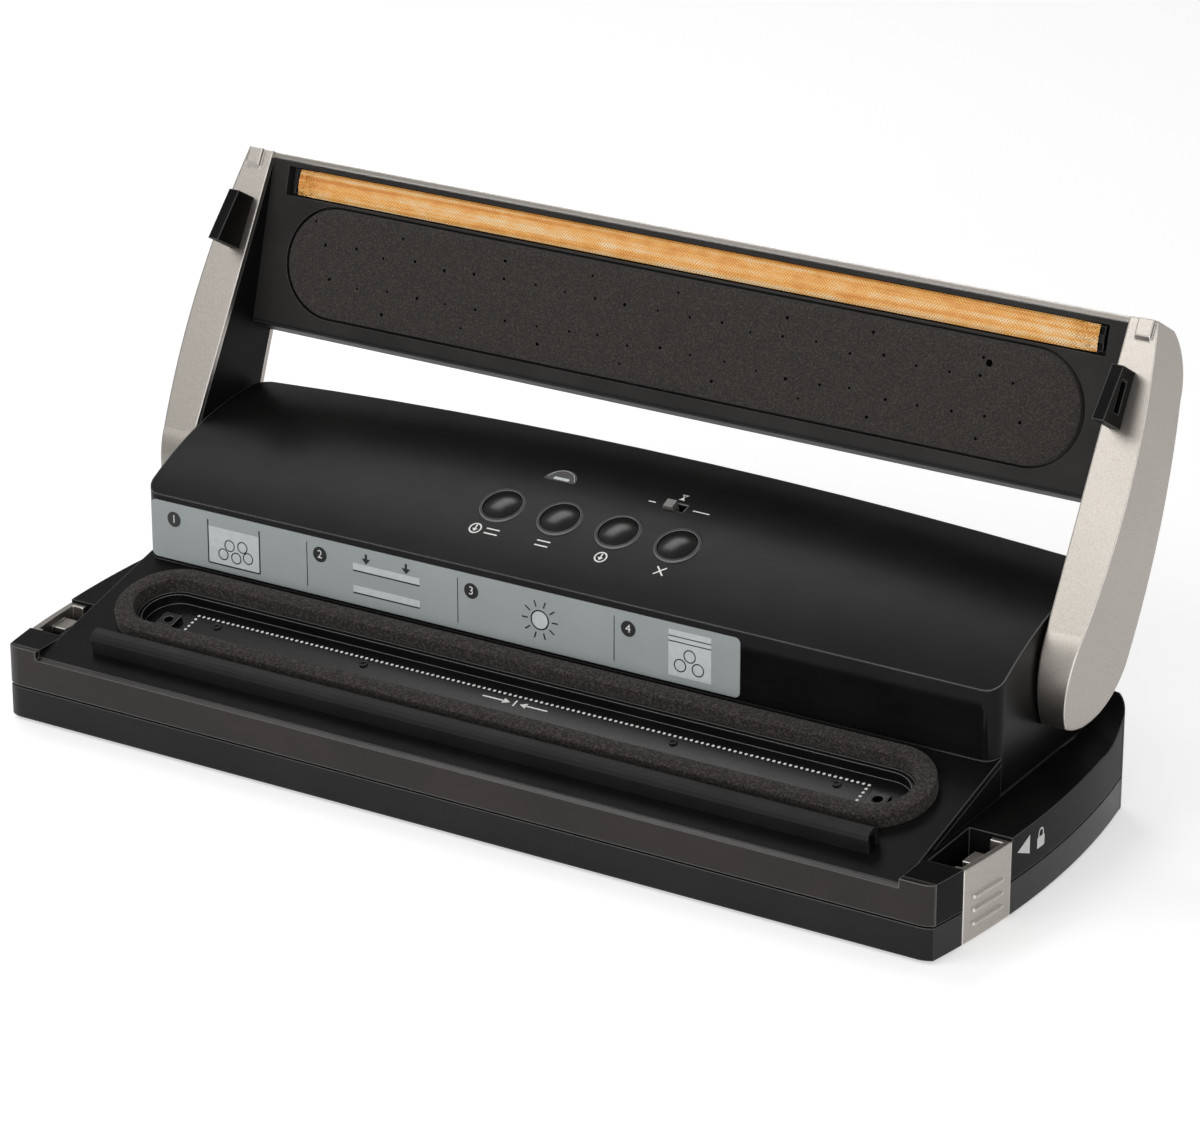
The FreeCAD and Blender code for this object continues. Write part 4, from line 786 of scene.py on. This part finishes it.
def open_bag(dark, pale, x):
    """An open bag with filling."""
    add_rectangle(pale, x - BAG_HALF, PICTURE_LOW, x + BAG_HALF, BAG_HIGH)
    for edge in (x - BAG_HALF, x + BAG_HALF):
        add_bar(dark, edge, PICTURE_LOW, edge, BAG_RIM, STROKE)
    add_bar(dark, x - BAG_HALF, PICTURE_LOW, x + BAG_HALF, PICTURE_LOW, STROKE)
    for dx, y in BAG_FILLING:
        add_ring(dark, x + dx, y, BAG_PIECE, FINE_STROKE)


def pressed_bars(dark, pale, x):
    """A lid bar pressed down on a base bar."""
    for y in BARS_LOW:
        add_rectangle(pale, x - BARS_HALF, y, x + BARS_HALF, y + BAR_THICK)
        add_bar(dark, x - BARS_HALF, y, x + BARS_HALF, y, STROKE)
    for middle in (x + dx for dx in ARROWS_AT):
        add_bar(dark, middle, ARROW_TAIL, middle, ARROW_NECK, ARROW_STROKE)
        add_polygon(dark, [(middle - ARROW_SIDE, ARROW_BASE), (middle, ARROW_TIP),
                           (middle + ARROW_SIDE, ARROW_BASE)])


def shining_lamp(dark, pale, x):
    """A light with rays."""
    add_disc(pale, x, PICTURE_MIDDLE, LAMP_DISC, ROUND_STEPS)
    add_ring(dark, x, PICTURE_MIDDLE, LAMP_RING, STROKE)
    starts, ends = (disc_points(radius, RAY_COUNT) for radius in (RAY_START, RAY_END))
    for (x0, y0), (x1, y1) in zip(starts, ends):
        add_bar(dark, x + x0, PICTURE_MIDDLE + y0, x + x1, PICTURE_MIDDLE + y1, STROKE)


def sealed_bag(dark, pale, x):
    """A closed bag with its seam."""
    add_rectangle(pale, x - SEALED_HALF, PICTURE_LOW, x + SEALED_HALF, PICTURE_HIGH)
    for y in SEAM_HEIGHTS:
        add_bar(dark, x - SEALED_HALF, y, x + SEALED_HALF, y, SEAM_WIDTH)
    for dx, y in SEALED_FILLING:
        add_ring(dark, x + dx, y, SEALED_PIECE, FINE_STROKE)


def label_marks():
    """Discs for the numbers, thin rules and four simple pictures of the builder's own."""
    dark = bmesh.new()
    pale = bmesh.new()
    for i, left in enumerate(FIELD_LEFT):
        add_disc(dark, left + NUMBER_INSET, NUMBER_HEIGHT, NUMBER_RADIUS, ROUND_STEPS)
        if i:
            rule = left - FIELD_RULE
            add_bar(dark, rule, PICTURE_LOW, rule, PICTURE_HIGH, RULE_WIDTH)
    pictures = ((open_bag, BAG_INSET), (pressed_bars, BARS_INSET), (shining_lamp, LAMP_INSET),
                (sealed_bag, SEALED_INSET))
    for left, (picture, inset) in zip(FIELD_LEFT, pictures):
        picture(dark, pale, left + inset)
    add_piece("label_pictures_pale", pale, label_pale, "base", plate_film(1), smooth=False)
    add_piece("label_pictures_dark", dark, dark_ink, "base", plate_film(2), smooth=False)


label_marks()


def step_number(number, left):
    """A plain number as a flat mesh on its disc."""
    name = f"step_number_{number}"
    curve = bpy.data.curves.new(name, "FONT")
    curve.body = str(number)
    curve.size = NUMBER_SIZE * MM
    curve.align_x = "CENTER"
    curve.align_y = "CENTER"
    source = add_object(f"{name}_text", curve)
    bpy.context.view_layer.update()
    mesh = bpy.data.meshes.new_from_object(source.evaluated_get(bpy.context.evaluated_depsgraph_get()))
    bpy.data.objects.remove(source)
    data = bmesh.new()
    data.from_mesh(mesh)
    bpy.data.meshes.remove(mesh)
    middle = ((left + NUMBER_INSET) * MM, NUMBER_HEIGHT * MM, PLATE_THICK + 3 * INK)
    return add_piece(name, data, white_ink, "base",
                     plate_frame @ Matrix.Translation(middle), smooth=False)


for number, left in enumerate(FIELD_LEFT, start=1):
    step_number(number, left)

# Controls: frame with X along the row of buttons, Y up the console's slope and Z out of its top
button_middles = [sum(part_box(name), Vector()) / 2 for name in BUTTONS]
controls = (Matrix.Translation(sum(button_middles, Vector()) / len(BUTTONS))
            @ Matrix.Rotation(control_slope, 4, "X"))
# Sizes of the pale arc and oblong painted on the lens as its highlight
LENS_RADIUS = 6.2 * MM
LENS_RIM = 0.2 * MM
GLINT_LEFT, GLINT_RIGHT = -3.2 * MM, 3.6 * MM
GLINT_LOW, GLINT_HIGH = 0.7 * MM, 2.1 * MM
GLINT_ROUND = 0.6 * MM


def lens_marks():
    """A pale arc along the rim of the half-moon window and a pale oblong inside it: a painted highlight on
    the lens.
    """
    data = bmesh.new()
    middle = controls.inverted() @ (sum(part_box("indicator_lens"), Vector()) / 2)
    x, y = middle.x, middle.y - LENS_RADIUS / 2
    add_arch(data, x, y, LENS_RADIUS - LENS_RIM, LENS_RIM)
    add_polygon(data, rounded_rectangle(x + GLINT_LEFT, y + GLINT_LOW, x + GLINT_RIGHT, y + GLINT_HIGH,
                                        GLINT_ROUND))
    return add_piece("lens_marks", data, label_pale, "base", controls, smooth=False,
                     onto=("indicator_lens", press))


lens_marks()

# Signs under the buttons and round the slide switch
SIGN_DROP = -13.6 * MM
SIGN = 2.6 * MM
SIGN_STROKE = 0.6 * MM
SLIDER = (26.0 * MM, 19.5 * MM)
SHORT_MARK = (-11.5 * MM, -8.5 * MM)
LONG_MARK = (7.5 * MM, 14.5 * MM)
HOURGLASS_RISE = 6.2 * MM
HOURGLASS = 1.3 * MM


def suction_sign(data, x, y):
    """An arrow drawn into a ring: air taken out."""
    add_ring(data, x, y, SIGN, SIGN_STROKE)
    add_bar(data, x, y + 0.7 * SIGN, x, y - 0.2 * SIGN, SIGN_STROKE)
    barb, reach = y - 0.05 * SIGN, 0.45 * SIGN
    add_polygon(data, [(x - reach, barb), (x, y - 0.6 * SIGN), (x + reach, barb)])


def seam_sign(data, x, y):
    """Two bars: a sealed seam."""
    for rise in (-0.45 * SIGN, 0.45 * SIGN):
        add_bar(data, x - 1.1 * SIGN, y + rise, x + 1.1 * SIGN, y + rise, SIGN_STROKE)


def cross_sign(data, x, y):
    reach = 0.75 * SIGN
    for rise in (-reach, reach):
        add_bar(data, x - reach, y - rise, x + reach, y + rise, SIGN_STROKE)


def hourglass_sign(data, x, y, size):
    """Two crossed lines between two bars, with sand in the lower half."""
    stroke, half, waist = 0.5 * SIGN_STROKE, 1.2 * size, 0.7 * size
    for k in (-1, 1):
        add_bar(data, x - size, y + k * half, x + size, y + k * half, stroke)
        add_bar(data, x - k * waist, y - half, x + k * waist, y + half, stroke)
    floor, reach = y - 1.1 * size, 0.6 * size
    add_polygon(data, [(x - reach, floor), (x + reach, floor), (x, y - 0.2 * size)])


def control_signs():
    data = bmesh.new()
    first, second, third, fourth = (middle.x for middle in button_middles)
    suction_sign(data, first - 1.6 * SIGN, SIGN_DROP)
    seam_sign(data, first + 1.2 * SIGN, SIGN_DROP)
    seam_sign(data, second, SIGN_DROP)
    suction_sign(data, third, SIGN_DROP)
    cross_sign(data, fourth, SIGN_DROP)
    x, y = SLIDER
    for start, end in (SHORT_MARK, LONG_MARK):
        add_bar(data, x + start, y, x + end, y, SIGN_STROKE)
    hourglass_sign(data, x, y + HOURGLASS_RISE, HOURGLASS)
    return add_piece("control_signs", data, white_ink, "base", controls, smooth=False,
                     onto=("console_housing", press))


control_signs()

# Arrow and padlock signs behind the lid locks
ARROW_START = 4.0 * MM
ARROW_END = 12.6 * MM
ARROW_HALF = 3.6 * MM
LOCK_START = 18.0 * MM
LOCK_WIDTH = 5.4 * MM
LOCK_HEIGHT = 4.2 * MM
LOCK_ROUND = 0.6 * MM
SHACKLE = 0.7 * MM
SHACKLE_LEG = 1.3 * MM
SHACKLE_SHARE = 0.36
SIGN_HEIGHT = 23.8 * MM
SIDE_START = 0.25


def lock_signs(side, latch, cap):
    """A triangle that points at the lid lock and a plain padlock, on one side of the base."""
    data = bmesh.new()
    add_polygon(data, [(ARROW_START, 0), (ARROW_END, ARROW_HALF), (ARROW_END, -ARROW_HALF)])
    add_polygon(data, rounded_rectangle(LOCK_START, -LOCK_HEIGHT, LOCK_START + LOCK_WIDTH, 0, LOCK_ROUND))
    middle = LOCK_START + LOCK_WIDTH / 2
    reach = SHACKLE_SHARE * LOCK_WIDTH
    for leg in (middle - reach + SHACKLE / 2, middle + reach - SHACKLE / 2):
        add_bar(data, leg, 0, leg, SHACKLE_LEG, SHACKLE)
    add_arch(data, middle, SHACKLE_LEG, reach, SHACKLE)
    latch_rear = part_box(latch)[1].y
    beside = Matrix(((0, 0, side, side * SIDE_START), (1, 0, 0, latch_rear), (0, 1, 0, SIGN_HEIGHT),
                     (0, 0, 0, 1)))
    return add_piece(f"{latch}_signs", data, white_ink, "base", beside, smooth=False,
                     onto=(cap, (-side, 0, 0)))


lock_signs(-1, "latch_left", "side_cap_left")
lock_signs(1, "latch_right", "side_cap_right")

# Low hollow pegs on the chamber's floor
PEG_PLACES = (-134 * MM, -67 * MM, 67 * MM, 134 * MM)
PEG_SETBACK = 47.6 * MM
PEG_RADIUS = 1.7 * MM
PEG_HEIGHT = 0.8 * MM
PEG_STEPS = 20
# Shares of the radius and the height, from the outer foot over the rim into the hollow
PEG_SECTION = ((1.0, 0.0), (0.95, 0.9), (0.85, 1.0), (0.65, 1.0), (0.55, 0.9), (0.5, 0.1))


def tray_pegs():
    data = bmesh.new()
    for x in PEG_PLACES:
        loops = []
        for reach, rise in PEG_SECTION:
            circle = disc_points(PEG_RADIUS * reach, PEG_STEPS)
            loops.append(add_loop(data, [(x + dx, PEG_SETBACK + dy) for dx, dy in circle], PEG_HEIGHT * rise))
        join_loops(data, loops)
        close_ends(data, loops)
    return add_piece("tray_pegs", data, tray_black, "base", tray_floor)


tray_pegs()

# Sign in the chamber: two arrows that meet at a middle line
CENTRE_SETBACK = 47.2 * MM
CENTRE_STROKE = 0.7 * MM
CENTRE_LINE_HALF = 1.7 * MM
CENTRE_TIP = 2.0 * MM
CENTRE_NECK = 4.5 * MM
CENTRE_BARB = 5.0 * MM
CENTRE_BARB_HALF = 1.5 * MM
CENTRE_TAIL = 14.0 * MM


def centre_sign():
    data = bmesh.new()
    y = CENTRE_SETBACK
    add_bar(data, 0, y - CENTRE_LINE_HALF, 0, y + CENTRE_LINE_HALF, CENTRE_STROKE)
    for side in (-1, 1):
        add_bar(data, side * CENTRE_TAIL, y, side * CENTRE_NECK, y, CENTRE_STROKE)
        tip, barb = side * CENTRE_TIP, side * CENTRE_BARB
        add_polygon(data, [(tip, y), (barb, y + CENTRE_BARB_HALF), (barb, y - CENTRE_BARB_HALF)])
    return add_piece("centre_sign", data, white_ink, "base", tray_print, smooth=False)


centre_sign()

# Camera: its place is from the middle of the base's front, at floor level
CAMERA_FROM_FRONT = (0.87506, -1.30477, 0.74514)
CAMERA_PITCH = 22.13
CAMERA_YAW = 31.819
CAMERA_LENS = 144.87
CAMERA_SENSOR = 36
CAMERA_REACH = 50


def add_camera():
    camera = bpy.data.cameras.new("camera")
    camera.sensor_width = CAMERA_SENSOR
    camera.lens = CAMERA_LENS
    camera.clip_end = CAMERA_REACH
    item = add_object("camera", camera)
    item.location = Vector(CAMERA_FROM_FRONT) + Vector((0, front_y, 0))
    item.rotation_euler = (math.radians(90 - CAMERA_PITCH), 0, math.radians(CAMERA_YAW))
    bpy.context.scene.camera = item


# Floor, world and lamps
WHITE = (1, 1, 1, 1)
FLOOR_HALF = 6
FLOOR_GRAY = (0.8, 0.8, 0.8, 1)
FLOOR_ROUGHNESS = 0.9
FLOOR_GLOW = 0.5
WORLD_LIGHT = 0.32
# Each lamp: its place, what it points at, its two sides and its power in watts
LAMPS = {
    "key_light": ((-0.7, -1.3, 1.5), (0, 0, 0.08), (1.1, 0.8), 11),
    "top_light": ((-0.85, 0.5, 1.5), (0, 0, 0.08), (0.9, 0.6), 6),
    "front_light": ((0.5, -1.85, 0.5), (0.05, 0, 0.1), (1.4, 0.6), 12),
    "right_light": ((1.7, -0.5, 0.9), (0.1, 0, 0.08), (0.7, 1.0), 3.0)}


def add_floor():
    """A pale floor that keeps the contact shadow and reads as white to the camera and in reflections."""
    data = bmesh.new()
    bmesh.ops.create_grid(data, x_segments=1, y_segments=1, size=FLOOR_HALF)
    mesh = bpy.data.meshes.new("floor")
    data.to_mesh(mesh)
    data.free()
    floor = add_object("floor", mesh)
    material, tree, shader = new_material("floor_white")
    path = add_node(tree, "ShaderNodeLightPath").outputs
    seen = path["Is Camera Ray"]
    for ray in ("Is Glossy Ray", "Is Transmission Ray"):
        seen = calculate(tree, "MAXIMUM", seen, path[ray])
    feed(tree, shader, {
        "Base Color": FLOOR_GRAY, "Roughness": FLOOR_ROUGHNESS, "Emission Color": WHITE,
        "Emission Strength": calculate(tree, "MULTIPLY", seen, FLOOR_GLOW)})
    mesh.materials.append(material)


def add_world():
    world = bpy.data.worlds.new("studio")
    bpy.context.scene.world = world
    world.use_nodes = True
    tree = world.node_tree
    feed(tree, tree.nodes["Background"], {"Color": WHITE, "Strength": WORLD_LIGHT})


def add_lamp(name, place, target, size, power):
    light = bpy.data.lights.new(name, "AREA")
    light.shape = "RECTANGLE"
    light.size, light.size_y = size
    light.energy = power
    item = add_object(name, light)
    item.location = place
    item.rotation_euler = (Vector(target) - Vector(place)).to_track_quat("-Z", "Y").to_euler()


add_camera()
add_floor()
add_world()
for name, settings in LAMPS.items():
    add_lamp(name, *settings)
bpy.context.scene.view_settings.view_transform = "Standard"
